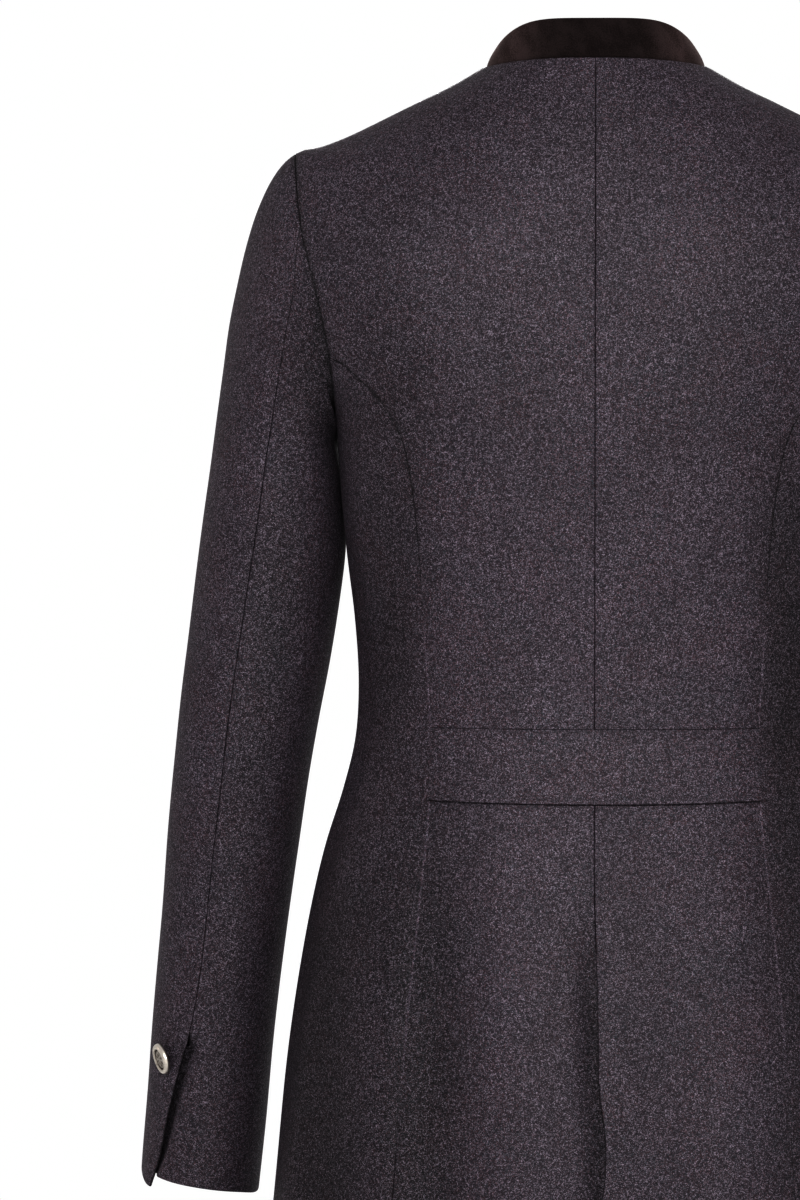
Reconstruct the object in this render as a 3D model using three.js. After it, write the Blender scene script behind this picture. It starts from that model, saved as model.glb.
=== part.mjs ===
// A long fitted wool coat in the trachten style: a stand collar, two-piece sleeves with a slit
// cuff and a metal button, princess seams in the back, a belt sewn over the back between them
// and a lapped vent at the centre back. It stands as it is worn, hollow and with nobody in it.
//
// Millimetres, +Z up. The wearer faces -Y and their left side is +X. The origin is in the middle
// of the neck, level with the collar seam at the centre back.

import * as THREE from 'three';

// Driving sizes
const WALL = 2; // wool cloth with its fusing
const SEAM_GAP = 0.3; // between pieces sewn edge to edge
const LEAST_SQUARE = 0.35; // sine of the steepest angle at which a seam's gap is still kept whole
const LAP_GAP = 0.5; // between layers that lie on each other
const HEM = 900; // centre-back length, from the collar seam
const SHOULDER_TIP = 72; // level where the shoulder seam ends in the armhole
const ARMPIT = 215; // level of the armhole's lowest point
const PRINCESS_TOP = 181; // level where the princess seam leaves the armhole

const VENT_TOP = 604; // level where the centre-back seam opens
const VENT_UNDERLAP = 34; // how far the left edge runs on under the right one
const VENT_LIFT = 2.5; // how far the right edge stands off the left one
const VENT_SOFTENING = 130; // above the vent, where its edges start to part in depth
const VENT_SWING = { seam: 2.5, edge: 4.5, reach: 50 }; // how far it swings to the wearer's right

const FRONT_LAP = 22; // how far each front runs past the centre line
const BELT_TOP = 403.5;
const BELT_DEPTH = 43;
const BELT_SAG = 2.5; // how much lower its bottom edge hangs at the centre

const RIDGE = 2.6; // how narrow the ridge is where a ring hangs higher at the side

const COLLAR_WALL = 3;
const COLLAR_GAP = 0.5; // between the collar and the body's neck edge
const COLLAR_BELLY = 1.2; // how far the stand rounds outwards half way up
const COLLAR_END = 176; // degrees from the centre back to each end of the collar
const COLLAR_CORNER = 14; // degrees over which each end is rounded
// The collar's top edge: its half sizes, and its height at the back, the side and the front.
const COLLAR_TOP = {
  halfWidth: 60, backDepth: 55, frontDepth: 54, back: 24, side: 10, front: -44, round: 2.5, ridge: 4,
};

const BUTTON_RADIUS = 10;
const BUTTON_HEIGHT = 4.5;
const BUTTON_GAP = 0.6; // between a button's back and the cloth
const FRONT_BUTTONS = { first: 94, spacing: 84, count: 5 }; // heights below the collar seam

const ARMHOLE_GAP = 1.3; // between the sleeve's head and the body
const HEM_STATION = 20; // the sleeve's last section
const CUFF_SLIT_STATION = 18; // sleeve section where the back seam opens
// The cuff's button hangs on its shank a little: its face leans outwards and down.
const CUFF_BUTTON = { station: 18.25, angle: 51, leanOut: 0.45, leanDown: 0.18, gap: 1.8 };
const SLIT_DIP = 3; // how far the under sleeve drops behind the slit's edge
const SLIT_CORNER = 5; // how far the upper sleeve's free corner hangs below the hem
const SLIT_UNDERLAP = 14; // degrees that the under sleeve runs on behind the slit

// The body as rings, from the neck to the hem, one row for each level. A level is the ring's
// distance below the collar seam at the centre back; the ring may hang lower at side and front.
const BODY_COLUMNS = [
  'level', 'sideDrop', 'frontDrop', 'halfWidth', 'backDepth', 'frontDepth', 'backRound', 'frontRound',
];
const BODY_LEVELS = [
  [0, 3.5, 72, 69, 60, 62, 2.0, 2.0],
  [12, 15.4, 84, 90, 65.5, 68, 2.0, 2.0],
  [24, 25.9, 95, 112, 70.5, 75, 1.98, 2.0],
  [36, 36.3, 106, 133, 75.5, 81.5, 1.96, 2.0],
  [48, 45.3, 117, 152, 79.5, 87.5, 1.96, 2.0],
  [60, 51.7, 128, 169, 83, 93, 1.98, 2.02],
  [72, 55.3, 139, 184, 86, 98, 2.03, 2.06],
  [84, 68, 149, 192.5, 88.5, 102, 2.2, 2.15],
  [98, 86.5, 160, 196.5, 91, 106, 2.45, 2.3],
  [114, 107, 173, 196, 93.2, 110.5, 2.7, 2.45],
  [132, 128.5, 187, 192.5, 95, 115, 2.85, 2.55],
  [152, 150.5, 202, 186.5, 96, 119.5, 2.9, 2.6],
  [170, 169.5, 214, 179.5, 96, 122.5, 2.85, 2.6],
  [185, 185, 224, 173, 95.7, 124.5, 2.8, 2.6],
  [200, 200, 235, 166, 95.2, 126, 2.75, 2.58],
  [215, 215, 243, 160, 94.3, 127, 2.7, 2.55],
  [240, 240, 257, 157.5, 92, 127.5, 2.6, 2.5],
  [270, 270, 278, 155.5, 89, 125.5, 2.5, 2.45],
  [305, 305, 308, 152, 85.5, 119, 2.42, 2.4],
  [340, 340, 341, 147.8, 82, 110, 2.4, 2.38],
  [380, 380, 380, 145.5, 80, 102, 2.4, 2.36],
  [415, 415, 415, 147.5, 81.5, 101, 2.4, 2.35],
  [445, 445, 445, 154.5, 86.5, 104, 2.4, 2.35],
  [480, 480, 480, 165.5, 95.5, 108, 2.35, 2.3],
  [520, 520, 520, 175, 105, 112, 2.35, 2.3],
  [560, 560, 560, 182.5, 113, 115, 2.3, 2.25],
  [610, 610, 610, 189.5, 119.5, 118, 2.3, 2.2],
  [700, 700, 700, 198.5, 126, 124, 2.25, 2.2],
  [800, 800, 800, 208.5, 131, 130, 2.2, 2.2],
  [900, 900, 900, 218, 136, 136, 2.2, 2.2],
];

// Half widths of the back and the front where the armhole cuts them.
const ARMHOLE_COLUMNS = ['level', 'back', 'front'];
const ARMHOLE_LEVELS = [
  [72, 184, 184],
  [77, 183.3, 181.5],
  [84, 182.4, 178],
  [98, 180.2, 173],
  [114, 177, 169],
  [132, 171.8, 165.8],
  [152, 166.6, 163],
  [170, 162.9, 161.4],
  [185, 160.8, 160.3],
  [200, 159.6, 159.6],
  [215, 160, 160],
];

// Half widths of the back at its princess seams.
const PRINCESS_COLUMNS = ['level', 'half'];
const PRINCESS_LEVELS = [
  [181, 160.4],
  [185, 152.5],
  [194, 142.5],
  [204, 132.5],
  [215, 124.5],
  [229, 117.5],
  [245, 113.5],
  [268, 110],
  [300, 107],
  [356, 103.5],
  [417, 100],
  [450, 101],
  [507, 106.5],
  [565, 112.5],
  [625, 117],
  [686, 121.5],
  [900, 138],
];

// Soft vertical folds in the skirt: where each one is, counted from the centre back towards the
// wearer's left, how wide it is, how far it stands out at the hem, and the level where it starts.
const FOLDS = [
  { angle: 38, spread: 9, lift: 4, top: 420 },
  { angle: 21, spread: 7, lift: -3, top: 470 },
  { angle: -34, spread: 10, lift: 4, top: 430 },
  { angle: -17, spread: 6, lift: -2.5, top: 480 },
  { angle: 72, spread: 8, lift: 5, top: 520 },
  { angle: 100, spread: 9, lift: -4, top: 560 },
  { angle: 134, spread: 11, lift: 5, top: 540 },
  { angle: -76, spread: 9, lift: 4.5, top: 530 },
  { angle: -107, spread: 8, lift: -4, top: 570 },
  { angle: -139, spread: 12, lift: 5, top: 550 },
];

// The left sleeve as sections that fan out from the armhole and then run down the arm. Each row
// gives the section's outer and inner point in the X-Z plane, its middle in Y, half its depth in
// Y, and how much of the armhole's own outline it still has.
const SLEEVE_COLUMNS = [
  'station', 'outerX', 'outerDrop', 'innerX', 'innerDrop', 'middle', 'halfDepth', 'armhole',
];
const SLEEVE_SECTIONS = [
  [0, 184.5, 55, 160, 215.5, -9, 67, 1],
  [1, 192.5, 62, 161, 219, -10.5, 66, 0.88],
  [2, 200.5, 73.5, 161.2, 222.5, -12, 65, 0.74],
  [3, 208.5, 91, 161, 226, -14, 64, 0.58],
  [4, 215, 111.5, 160.6, 230, -16, 63, 0.44],
  [5, 220.5, 134, 160, 235, -19, 62, 0.31],
  [6, 226, 160, 159, 241, -22, 61, 0.2],
  [7, 230.3, 189, 157.8, 250, -25, 60, 0.11],
  [8, 234.6, 218, 156.6, 262, -28, 59, 0.05],
  [9, 239, 250, 155.4, 278, -30, 58, 0.02],
  [10, 243.5, 281, 155, 298, -31, 56.5, 0],
  [11, 248, 314, 158, 326, -32, 55, 0],
  [12, 253, 355, 164.4, 367, -33, 53, 0],
  [13, 257.9, 393, 171.8, 406, -35, 52, 0],
  [14, 262.2, 432, 178.8, 445, -38, 51, 0],
  [15, 266.3, 473, 185.2, 487, -42, 50, 0],
  [16, 270.4, 520, 191.9, 533, -47, 49, 0],
  [17, 274.7, 563, 197.6, 575, -52, 48, 0],
  [18, 278.4, 604, 202.4, 615, -57, 47.5, 0],
  [19, 281.6, 648, 206.7, 659, -61, 47, 0],
  [20, 285.6, 694, 212, 706, -65, 46.5, 0],
];
const SLEEVE_ROUND = 2.2; // how square each section is: 2 is an ellipse

// Where the sleeve's two seams run, in degrees round each section from its outer point, the
// back seam backwards and the front seam forwards.
const SLEEVE_SEAM_COLUMNS = ['station', 'back', 'front'];
const SLEEVE_SEAMS = [
  [0, 66, 128],
  [2, 78, 128],
  [4, 87, 127],
  [6, 90, 126],
  [9, 87, 124],
  [12, 82, 122],
  [15, 78, 122],
  [18, 76, 122],
  [19, 63, 122],
  [20, 45, 122],
];

const CLOTH = { color: 0x3f3a40, roughness: 0.95, metalness: 0 };
const SUEDE = { color: 0x1e1613, roughness: 0.9, metalness: 0 };
const METAL = { color: 0x8f877c, roughness: 0.35, metalness: 1 };

const coat = new THREE.Group();

function addPiece(name, geometry, finish) {
  const piece = new THREE.Mesh(geometry, new THREE.MeshStandardMaterial(finish));
  piece.name = name;
  coat.add(piece);
  return piece;
}

// Small sums

const radians = THREE.MathUtils.degToRad;
const degrees = THREE.MathUtils.radToDeg;
const smooth = THREE.MathUtils.smoothstep;
const mix = THREE.MathUtils.lerp;

/** value to a power, keeping its sign. */
function signedPower(value, power) {
  return Math.sign(value) * Math.abs(value) ** power;
}

/** count + 1 numbers from one value to another, evenly spaced. */
function steps(from, to, count) {
  return Array.from({ length: count + 1 }, (_, i) => mix(from, to, i / count));
}

/** A smooth function through a table's rows, which gives its other columns by name. */
function smoothTable(columns, rows) {
  const names = columns.slice(1);
  const places = rows.map((row) => row[0]);
  const values = rows.flatMap((row) => row.slice(1));
  const curve = new THREE.CubicInterpolant(places, values, names.length, []);
  return (place) => {
    const found = curve.evaluate(place);
    return Object.fromEntries(names.map((name, i) => [name, found[i]]));
  };
}

const bodyRing = smoothTable(BODY_COLUMNS, BODY_LEVELS);
const armholeHalf = smoothTable(ARMHOLE_COLUMNS, ARMHOLE_LEVELS);
const princessHalf = smoothTable(PRINCESS_COLUMNS, PRINCESS_LEVELS);
const ringAtFront = smoothTable(['frontDrop', 'level'], BODY_LEVELS.map(([level, , drop]) => [drop, level]));
const sleeveSection = smoothTable(SLEEVE_COLUMNS, SLEEVE_SECTIONS);
const sleeveSeam = smoothTable(SLEEVE_SEAM_COLUMNS, SLEEVE_SEAMS);

// Walls of cloth

/** Six times the signed volume that a geometry's faces enclose. */
function signedVolume(points, faces) {
  let sum = 0;
  for (let i = 0; i < faces.length; i += 3) {
    const [a, b, c] = [faces[i], faces[i + 1], faces[i + 2]].map((index) => points[index]);
    sum += a.dot(b.clone().cross(c));
  }
  return sum;
}

/** A closed wall between two grids of points: rows of equal length, outer[i][j] over inner[i][j]. */
function wallBetween(outer, inner) {
  const rows = outer.length;
  const columns = outer[0].length;
  const points = [...outer.flat(), ...inner.flat()];
  const under = rows * columns;
  const faces = [];
  const quad = (a, b, c, d) => faces.push(a, b, c, a, c, d);
  for (let i = 0; i + 1 < rows; i += 1) {
    for (let j = 0; j + 1 < columns; j += 1) {
      const [a, b] = [i * columns + j, i * columns + j + 1];
      const [d, c] = [a + columns, b + columns];
      quad(a, b, c, d);
      quad(under + a, under + d, under + c, under + b);
    }
  }
  for (let j = 0; j + 1 < columns; j += 1) {
    const last = (rows - 1) * columns + j;
    quad(j + 1, j, under + j, under + j + 1);
    quad(last, last + 1, under + last + 1, under + last);
  }
  for (let i = 0; i + 1 < rows; i += 1) {
    const [first, last] = [i * columns, i * columns + columns - 1];
    quad(first, first + columns, under + first + columns, under + first);
    quad(last + columns, last, under + last, under + last + columns);
  }
  if (signedVolume(points, faces) < 0) faces.reverse();
  const geometry = new THREE.BufferGeometry().setFromPoints(points);
  geometry.setIndex(faces);
  geometry.computeVertexNormals();
  return geometry;
}

/** Moves both ends of each row inwards, square to the seam, so that neighbours keep its gap. */
function trimEnds(rows) {
  const last = rows[0].length - 1;
  for (const [end, next] of [[0, 1], [last, last - 1]]) {
    const edge = rows.map((row) => row[end].clone());
    rows.forEach((row, i) => {
      const [before, after] = [edge[Math.max(i - 1, 0)], edge[Math.min(i + 1, rows.length - 1)]];
      const along = after.clone().sub(before).normalize();
      const inwards = row[next].clone().sub(edge[i]).normalize();
      const square = Math.max(LEAST_SQUARE, inwards.clone().projectOnPlane(along).length());
      row[end].addScaledVector(inwards, SEAM_GAP / 2 / square);
    });
  }
  return rows;
}

// The body

/** A point of the body's outer surface. The angle runs in degrees from the centre back to +X. */
function bodyPoint(angle, level) {
  const ring = bodyRing(level);
  const [sine, cosine] = [Math.sin(radians(angle)), Math.cos(radians(angle))];
  const behind = cosine >= 0;
  const power = 2 / (behind ? ring.backRound : ring.frontRound);
  const endDrop = behind ? level : ring.frontDrop;
  return new THREE.Vector3(
    ring.halfWidth * signedPower(sine, power),
    (behind ? ring.backDepth : ring.frontDepth) * signedPower(cosine, power),
    -mix(endDrop, ring.sideDrop, Math.abs(sine) ** RIDGE),
  );
}

/** The outward direction of the body's surface. */
function bodyNormal(angle, level) {
  const across = bodyPoint(angle + 0.5, level).sub(bodyPoint(angle - 0.5, level));
  const down = bodyPoint(angle, level + 1).sub(bodyPoint(angle, level - 1));
  return across.cross(down).normalize();
}

/** How far the skirt's folds lift the surface. */
function foldLift(angle, level) {
  return FOLDS.reduce((sum, fold) => {
    const grown = Math.max(0, (level - fold.top) / (HEM - fold.top));
    return sum + fold.lift * grown * Math.exp(-(((angle - fold.angle) / fold.spread) ** 2));
  }, 0);
}

/** The angle at which the body is this half width, on its back or its front. */
function angleAtHalf(half, level, front = false) {
  const ring = bodyRing(level);
  const share = Math.min(1, half / ring.halfWidth);
  const angle = degrees(Math.asin(share ** ((front ? ring.frontRound : ring.backRound) / 2)));
  return front ? 180 - angle : angle;
}

/** A wall of cloth on the body, through the same number of angles at each level. */
function bodyPiece(levels, anglesAt, lift = () => 0, walls = [0, -WALL], droop = () => 0) {
  const grid = (depth) => levels.map((level, i) => anglesAt(level).map((angle) => {
    const low = level + droop(angle, i / (levels.length - 1));
    const out = foldLift(angle, low) + lift(angle, low) + depth;
    return bodyPoint(angle, low).addScaledVector(bodyNormal(angle, low), out);
  }));
  return wallBetween(trimEnds(grid(walls[0])), trimEnds(grid(walls[1])));
}

const princessAngle = (level) => angleAtHalf(princessHalf(level).half, level);
const armholeAngle = (level, front) => {
  const half = armholeHalf(level);
  return angleAtHalf(front ? half.front : half.back, level, front);
};

/** Where a back piece ends away from the centre: shoulder seam, armhole, then princess seam. */
function backEdge(level) {
  if (level <= SHOULDER_TIP) return 90;
  return level <= PRINCESS_TOP ? armholeAngle(level, false) : princessAngle(level);
}

/** Where a front or side-back piece starts under the arm: shoulder, armhole, then side seam. */
function sideEdge(level, front) {
  return level <= SHOULDER_TIP || level >= ARMPIT ? 90 : armholeAngle(level, front);
}

const NECK_LEVELS = [0, 18, 36, 54, SHOULDER_TIP];
const ARMHOLE_STEPS = [75, 82, 95, 114, 136, 160, PRINCESS_TOP];
const UNDERARM_STEPS = [PRINCESS_TOP + 1, 187, 195, 204, 210, 213.5, ARMPIT];
const WAIST_LEVELS = [240, 285, 330, 372, BELT_TOP, BELT_TOP + BELT_DEPTH / 2];
const HIP_LEVELS = [BELT_TOP + BELT_DEPTH + BELT_SAG, 490, 545];
const VENT_LEVELS = [VENT_TOP - 1, VENT_TOP + 2];
const SKIRT_LEVELS = [630, 660, 770, HEM];
const LOWER_LEVELS = [...UNDERARM_STEPS, ...WAIST_LEVELS, ...HIP_LEVELS, ...VENT_LEVELS, ...SKIRT_LEVELS];
const ALL_LEVELS = [...NECK_LEVELS, ...ARMHOLE_STEPS, ...LOWER_LEVELS];

/** The angle of the right back's centre edge, which the seam and the vent below it follow. */
function centreEdge(level) {
  const seam = VENT_SWING.seam * smooth(level, VENT_TOP - VENT_SOFTENING, VENT_TOP);
  const edge = VENT_SWING.edge * smooth(level, VENT_TOP, VENT_TOP + VENT_SWING.reach);
  return -angleAtHalf(seam + edge, level);
}

/** The left vent edge drops under the right one before it runs on as the underlap. */
function ventDip(angle, level) {
  const low = smooth(level, VENT_TOP - VENT_SOFTENING, VENT_TOP - 5);
  return -(WALL + LAP_GAP) * low * (1 - smooth(angle, 1.2, 7));
}

/** The right vent edge stands off the left one. */
function ventRise(angle, level) {
  return VENT_LIFT * smooth(level, VENT_TOP - VENT_SOFTENING, VENT_TOP + 80) * smooth(angle, -9, -1);
}

function addBacks() {
  const leftAngles = (level) => {
    const edge = level > VENT_TOP ? -angleAtHalf(VENT_UNDERLAP, level) : centreEdge(level);
    return [edge, mix(edge, 1.2, 0.5), 1.2, 4, ...steps(7, backEdge(level), 5)];
  };
  const rightAngles = (level) => [...steps(-backEdge(level), -9, 5), -5.5, centreEdge(level)];
  addPiece('back_left', bodyPiece(ALL_LEVELS, leftAngles, ventDip), CLOTH);
  addPiece('back_right', bodyPiece(ALL_LEVELS, rightAngles, ventRise), CLOTH);
}

function addSideBacks() {
  for (const [side, name] of [[1, 'left'], [-1, 'right']]) {
    const angles = (level) => steps(side * princessAngle(level), side * sideEdge(level, false), 4);
    addPiece(`side_back_${name}`, bodyPiece(LOWER_LEVELS, angles), CLOTH);
  }
}

/** The angle of a front's free edge, past the centre line. */
function lapEdge(level) {
  return 360 - angleAtHalf(FRONT_LAP, level, true);
}

/** The right front rises over the edge of the left one. */
function lapRise(angle, level) {
  const under = 360 - lapEdge(level);
  return (WALL + LAP_GAP) * smooth(-angle, under - 8, under - 2);
}

function addFronts() {
  const leftAngles = (level) => steps(sideEdge(level, true), lapEdge(level), 7);
  const rightAngles = (level) => {
    const under = 360 - lapEdge(level);
    return [...steps(sideEdge(level, true), under - 8, 5), under - 2, 180, lapEdge(level)].map((x) => -x);
  };
  addPiece('front_left', bodyPiece(ALL_LEVELS, leftAngles), CLOTH);
  addPiece('front_right', bodyPiece(ALL_LEVELS, rightAngles, lapRise), CLOTH);
}

function addBelt() {
  const angles = (level) => steps(-princessAngle(level), princessAngle(level), 14);
  const droop = (angle, down) => BELT_SAG * down * Math.cos(radians(2 * angle));
  const levels = steps(BELT_TOP, BELT_TOP + BELT_DEPTH, 2);
  const walls = [LAP_GAP + WALL, LAP_GAP];
  addPiece('back_belt', bodyPiece(levels, angles, () => 0, walls, droop), CLOTH);
}

// The collar

/** A point of the collar's outer surface, from its seam (0) to its top edge (1). */
function collarPoint(angle, rise) {
  const [sine, cosine] = [Math.sin(radians(angle)), Math.cos(radians(angle))];
  const front = cosine < 0;
  const seam = bodyPoint(angle, 0);
  const inwards = new THREE.Vector3(sine, cosine, 0).negate();
  seam.addScaledVector(inwards, COLLAR_GAP).z += front ? 2 * COLLAR_GAP : COLLAR_GAP;
  const top = new THREE.Vector3(
    COLLAR_TOP.halfWidth * signedPower(sine, 2 / COLLAR_TOP.round),
    (front ? COLLAR_TOP.frontDepth : COLLAR_TOP.backDepth) * signedPower(cosine, 2 / COLLAR_TOP.round),
    mix(front ? COLLAR_TOP.front : COLLAR_TOP.back, COLLAR_TOP.side, Math.abs(sine) ** COLLAR_TOP.ridge),
  );
  return seam.lerp(top, rise).addScaledVector(inwards, -COLLAR_BELLY * Math.sin(Math.PI * rise));
}

/** The height share at which the collar ends: its front corners are rounded. */
function collarHeight(angle) {
  const fromEnd = COLLAR_END - Math.abs(angle);
  if (fromEnd >= COLLAR_CORNER) return 1;
  return 0.55 + 0.45 * Math.sqrt(1 - ((COLLAR_CORNER - fromEnd) / COLLAR_CORNER) ** 2);
}

function addCollar() {
  const angles = steps(-COLLAR_END, COLLAR_END, 28);
  const grid = (inwards) => steps(0, 1, 3).map((rise) => angles.map((angle) => {
    const share = rise * collarHeight(angle);
    const point = collarPoint(angle, share);
    const across = collarPoint(angle + 0.5, share).sub(collarPoint(angle - 0.5, share));
    const up = collarPoint(angle, share + 0.05).sub(collarPoint(angle, share - 0.05));
    return point.addScaledVector(across.cross(up).normalize(), inwards);
  }));
  addPiece('collar', wallBetween(grid(0), grid(COLLAR_WALL)), SUEDE);
}

// The sleeves

/** Half of the armhole, from the shoulder tip to the armpit, as places on the body. */
function armholeHalfPath(front) {
  const count = 48;
  const places = steps(0, Math.PI, count).map((turn) => {
    const level = mix(SHOULDER_TIP, ARMPIT, (1 - Math.cos(turn)) / 2);
    return { level, angle: armholeAngle(level, front) };
  });
  const lengths = [0];
  for (let i = 1; i <= count; i += 1) {
    const [a, b] = [places[i - 1], places[i]].map((place) => bodyPoint(place.angle, place.level));
    lengths.push(lengths[i - 1] + a.distanceTo(b));
  }
  return (share) => {
    const reach = share * lengths[count];
    const next = Math.max(1, lengths.findIndex((length) => length >= reach));
    const part = (reach - lengths[next - 1]) / (lengths[next] - lengths[next - 1]);
    return {
      level: mix(places[next - 1].level, places[next].level, part),
      angle: mix(places[next - 1].angle, places[next].angle, part),
    };
  };
}

const backArmhole = armholeHalfPath(false);
const frontArmhole = armholeHalfPath(true);

/** The place on the body where the sleeve's angle meets the armhole. */
function armholePlace(angle) {
  const round = Math.abs(angle);
  return angle >= 0 ? backArmhole(round / 180) : frontArmhole(round / 180);
}

/** A section's own axes: its middle, its outward and its downward direction. */
function sleeveAxes(station) {
  const section = sleeveSection(station);
  const outer = new THREE.Vector3(section.outerX, section.middle, -section.outerDrop);
  const inner = new THREE.Vector3(section.innerX, section.middle, -section.innerDrop);
  const outwards = outer.clone().sub(inner);
  const halfWidth = outwards.length() / 2;
  outwards.normalize();
  return {
    section,
    halfWidth,
    outwards,
    middle: outer.add(inner).multiplyScalar(0.5),
    down: new THREE.Vector3(-outwards.z, 0, outwards.x).negate(),
  };
}

/** A point of a section's plain rounded outline. */
function sectionPoint(axes, angle) {
  const power = 2 / SLEEVE_ROUND;
  const out = axes.halfWidth * signedPower(Math.cos(radians(angle)), power);
  const back = axes.section.halfDepth * signedPower(Math.sin(radians(angle)), power);
  const point = axes.middle.clone().addScaledVector(axes.outwards, out);
  point.y += back;
  return point;
}

/**
 * A point of the left sleeve's outer surface. The angle runs in degrees from the section's outer
 * point: backwards it is positive, and at 180 it is the point nearest the body.
 */
function sleevePoint(station, angle) {
  const axes = sleeveAxes(Math.max(0, station));
  const point = sectionPoint(axes, angle);
  const turned = THREE.MathUtils.euclideanModulo(angle + 180, 360) - 180;
  const place = armholePlace(turned);
  const first = sleeveAxes(0);
  const miss = bodyPoint(place.angle, place.level).sub(sectionPoint(first, turned));
  miss.x += ARMHOLE_GAP;
  const share = axes.section.armhole;
  point.addScaledVector(axes.outwards, share * miss.dot(first.outwards));
  point.addScaledVector(axes.down, share * miss.dot(first.down));
  point.y += share * miss.y;
  return point;
}

/** The outward direction of the sleeve; at the armhole it leans half way to the body's own. */
function sleeveNormal(station, angle) {
  const along = sleevePoint(station + 0.05, angle).sub(sleevePoint(Math.max(0, station - 0.05), angle));
  const round = sleevePoint(station, angle + 1).sub(sleevePoint(station, angle - 1));
  const normal = along.cross(round).normalize();
  if (station > 0) return normal;
  const place = armholePlace(angle > 180 ? angle - 360 : angle);
  const body = bodyNormal(place.angle, place.level);
  const opposed = Math.max(0, -normal.dot(body));
  return body.lerp(normal, opposed / 2).normalize();
}

/** A wall of cloth on the sleeve of one side, through the same number of angles at each station. */
function sleevePiece(side, stations, anglesAt, lift = () => 0, droop = () => 0) {
  const grid = (depth) => stations.map((station) => anglesAt(station).map((angle) => {
    const out = lift(angle, station) + depth;
    const point = sleevePoint(station, angle).addScaledVector(sleeveNormal(station, angle), out);
    point.x *= side;
    point.z -= droop(angle, station);
    return point;
  }));
  return wallBetween(trimEnds(grid(0)), trimEnds(grid(-WALL)));
}

/** The under sleeve drops behind the slit's edge before it runs on as the underlap. */
function slitDip(angle, station) {
  const low = smooth(station, CUFF_SLIT_STATION - 0.6, CUFF_SLIT_STATION - 0.05);
  const edge = sleeveSeam(station).back;
  return -SLIT_DIP * low * (1 - smooth(angle, edge + 2, edge + 14));
}

/** The upper sleeve's hem hangs lower towards its free corner at the slit. */
function slitDroop(angle, station) {
  const edge = sleeveSeam(station).back;
  return SLIT_CORNER * smooth(station, CUFF_SLIT_STATION, HEM_STATION) * smooth(angle, edge - 60, edge);
}

function addSleeve(side, name) {
  const slit = CUFF_SLIT_STATION;
  const arm = [...steps(0, 10, 10), 11, 12.5, 14, 15.5, 17];
  const stations = [...arm, slit - 0.2, slit, slit + 0.1, 19, HEM_STATION];
  const upperAngles = (station) => {
    const seam = sleeveSeam(station);
    return steps(-seam.front, seam.back, 10);
  };
  const underAngles = (station) => {
    const seam = sleeveSeam(station);
    const lap = station > slit ? SLIT_UNDERLAP : 0;
    const edge = seam.back - lap;
    return [edge, mix(edge, seam.back + 2, 0.5), ...steps(seam.back + 2, 360 - seam.front, 8)];
  };
  addPiece(`upper_sleeve_${name}`, sleevePiece(side, stations, upperAngles, () => 0, slitDroop), CLOTH);
  addPiece(`under_sleeve_${name}`, sleevePiece(side, stations, underAngles, slitDip), CLOTH);
}

// The buttons

/** A round metal button with a raised rim and a low boss, its back at z = 0. */
function buttonGeometry() {
  const outline = [
    [0, 0],
    [0.72 * BUTTON_RADIUS, 0],
    [BUTTON_RADIUS, 0.3 * BUTTON_HEIGHT],
    [0.93 * BUTTON_RADIUS, 0.8 * BUTTON_HEIGHT],
    [0.8 * BUTTON_RADIUS, BUTTON_HEIGHT],
    [0.62 * BUTTON_RADIUS, 0.7 * BUTTON_HEIGHT],
    [0.3 * BUTTON_RADIUS, 0.8 * BUTTON_HEIGHT],
    [0, 0.84 * BUTTON_HEIGHT],
  ];
  const points = outline.map(([radius, height]) => new THREE.Vector2(radius, height));
  return new THREE.LatheGeometry(points, 16).rotateX(Math.PI / 2);
}

/** Puts a button's back at a point, with its face in the direction given. */
function addButton(name, point, facing) {
  const button = addPiece(name, buttonGeometry(), METAL);
  button.position.copy(point);
  button.quaternion.setFromUnitVectors(new THREE.Vector3(0, 0, 1), facing);
}

function addFrontButtons() {
  for (let i = 0; i < FRONT_BUTTONS.count; i += 1) {
    const { level } = ringAtFront(FRONT_BUTTONS.first + i * FRONT_BUTTONS.spacing);
    const normal = bodyNormal(180, level);
    const rise = WALL + LAP_GAP + BUTTON_GAP + foldLift(-180, level);
    addButton(`front_button_${i + 1}`, bodyPoint(180, level).addScaledVector(normal, rise), normal);
  }
}

function addCuffButton(side, name) {
  const { station, angle, leanOut, leanDown, gap } = CUFF_BUTTON;
  const normal = sleeveNormal(station, angle);
  const point = sleevePoint(station, angle).addScaledVector(normal, gap);
  const facing = new THREE.Vector3(leanOut, 0, -leanDown).add(normal).normalize();
  const mirror = new THREE.Vector3(side, 1, 1);
  addButton(`cuff_button_${name}`, point.multiply(mirror), facing.multiply(mirror));
}

addBacks();
addSideBacks();
addFronts();
addBelt();
addCollar();
for (const [side, name] of [[1, 'left'], [-1, 'right']]) {
  addSleeve(side, name);
  addCuffButton(side, name);
}
addFrontButtons();

export default coat;
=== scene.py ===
"""Dresses a long fitted wool coat in the trachten style, as it is worn, with nobody in it.

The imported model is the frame. Each piece of cloth is a thin shell worked out with numpy on the
same form as its solid, in millimetres, and written to Blender in metres. The wearer faces -Y,
their left side is +X, and the origin is in the middle of the neck.
"""

from __future__ import annotations

import logging
import math
from dataclasses import dataclass
from enum import Enum
from typing import Sequence

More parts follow.
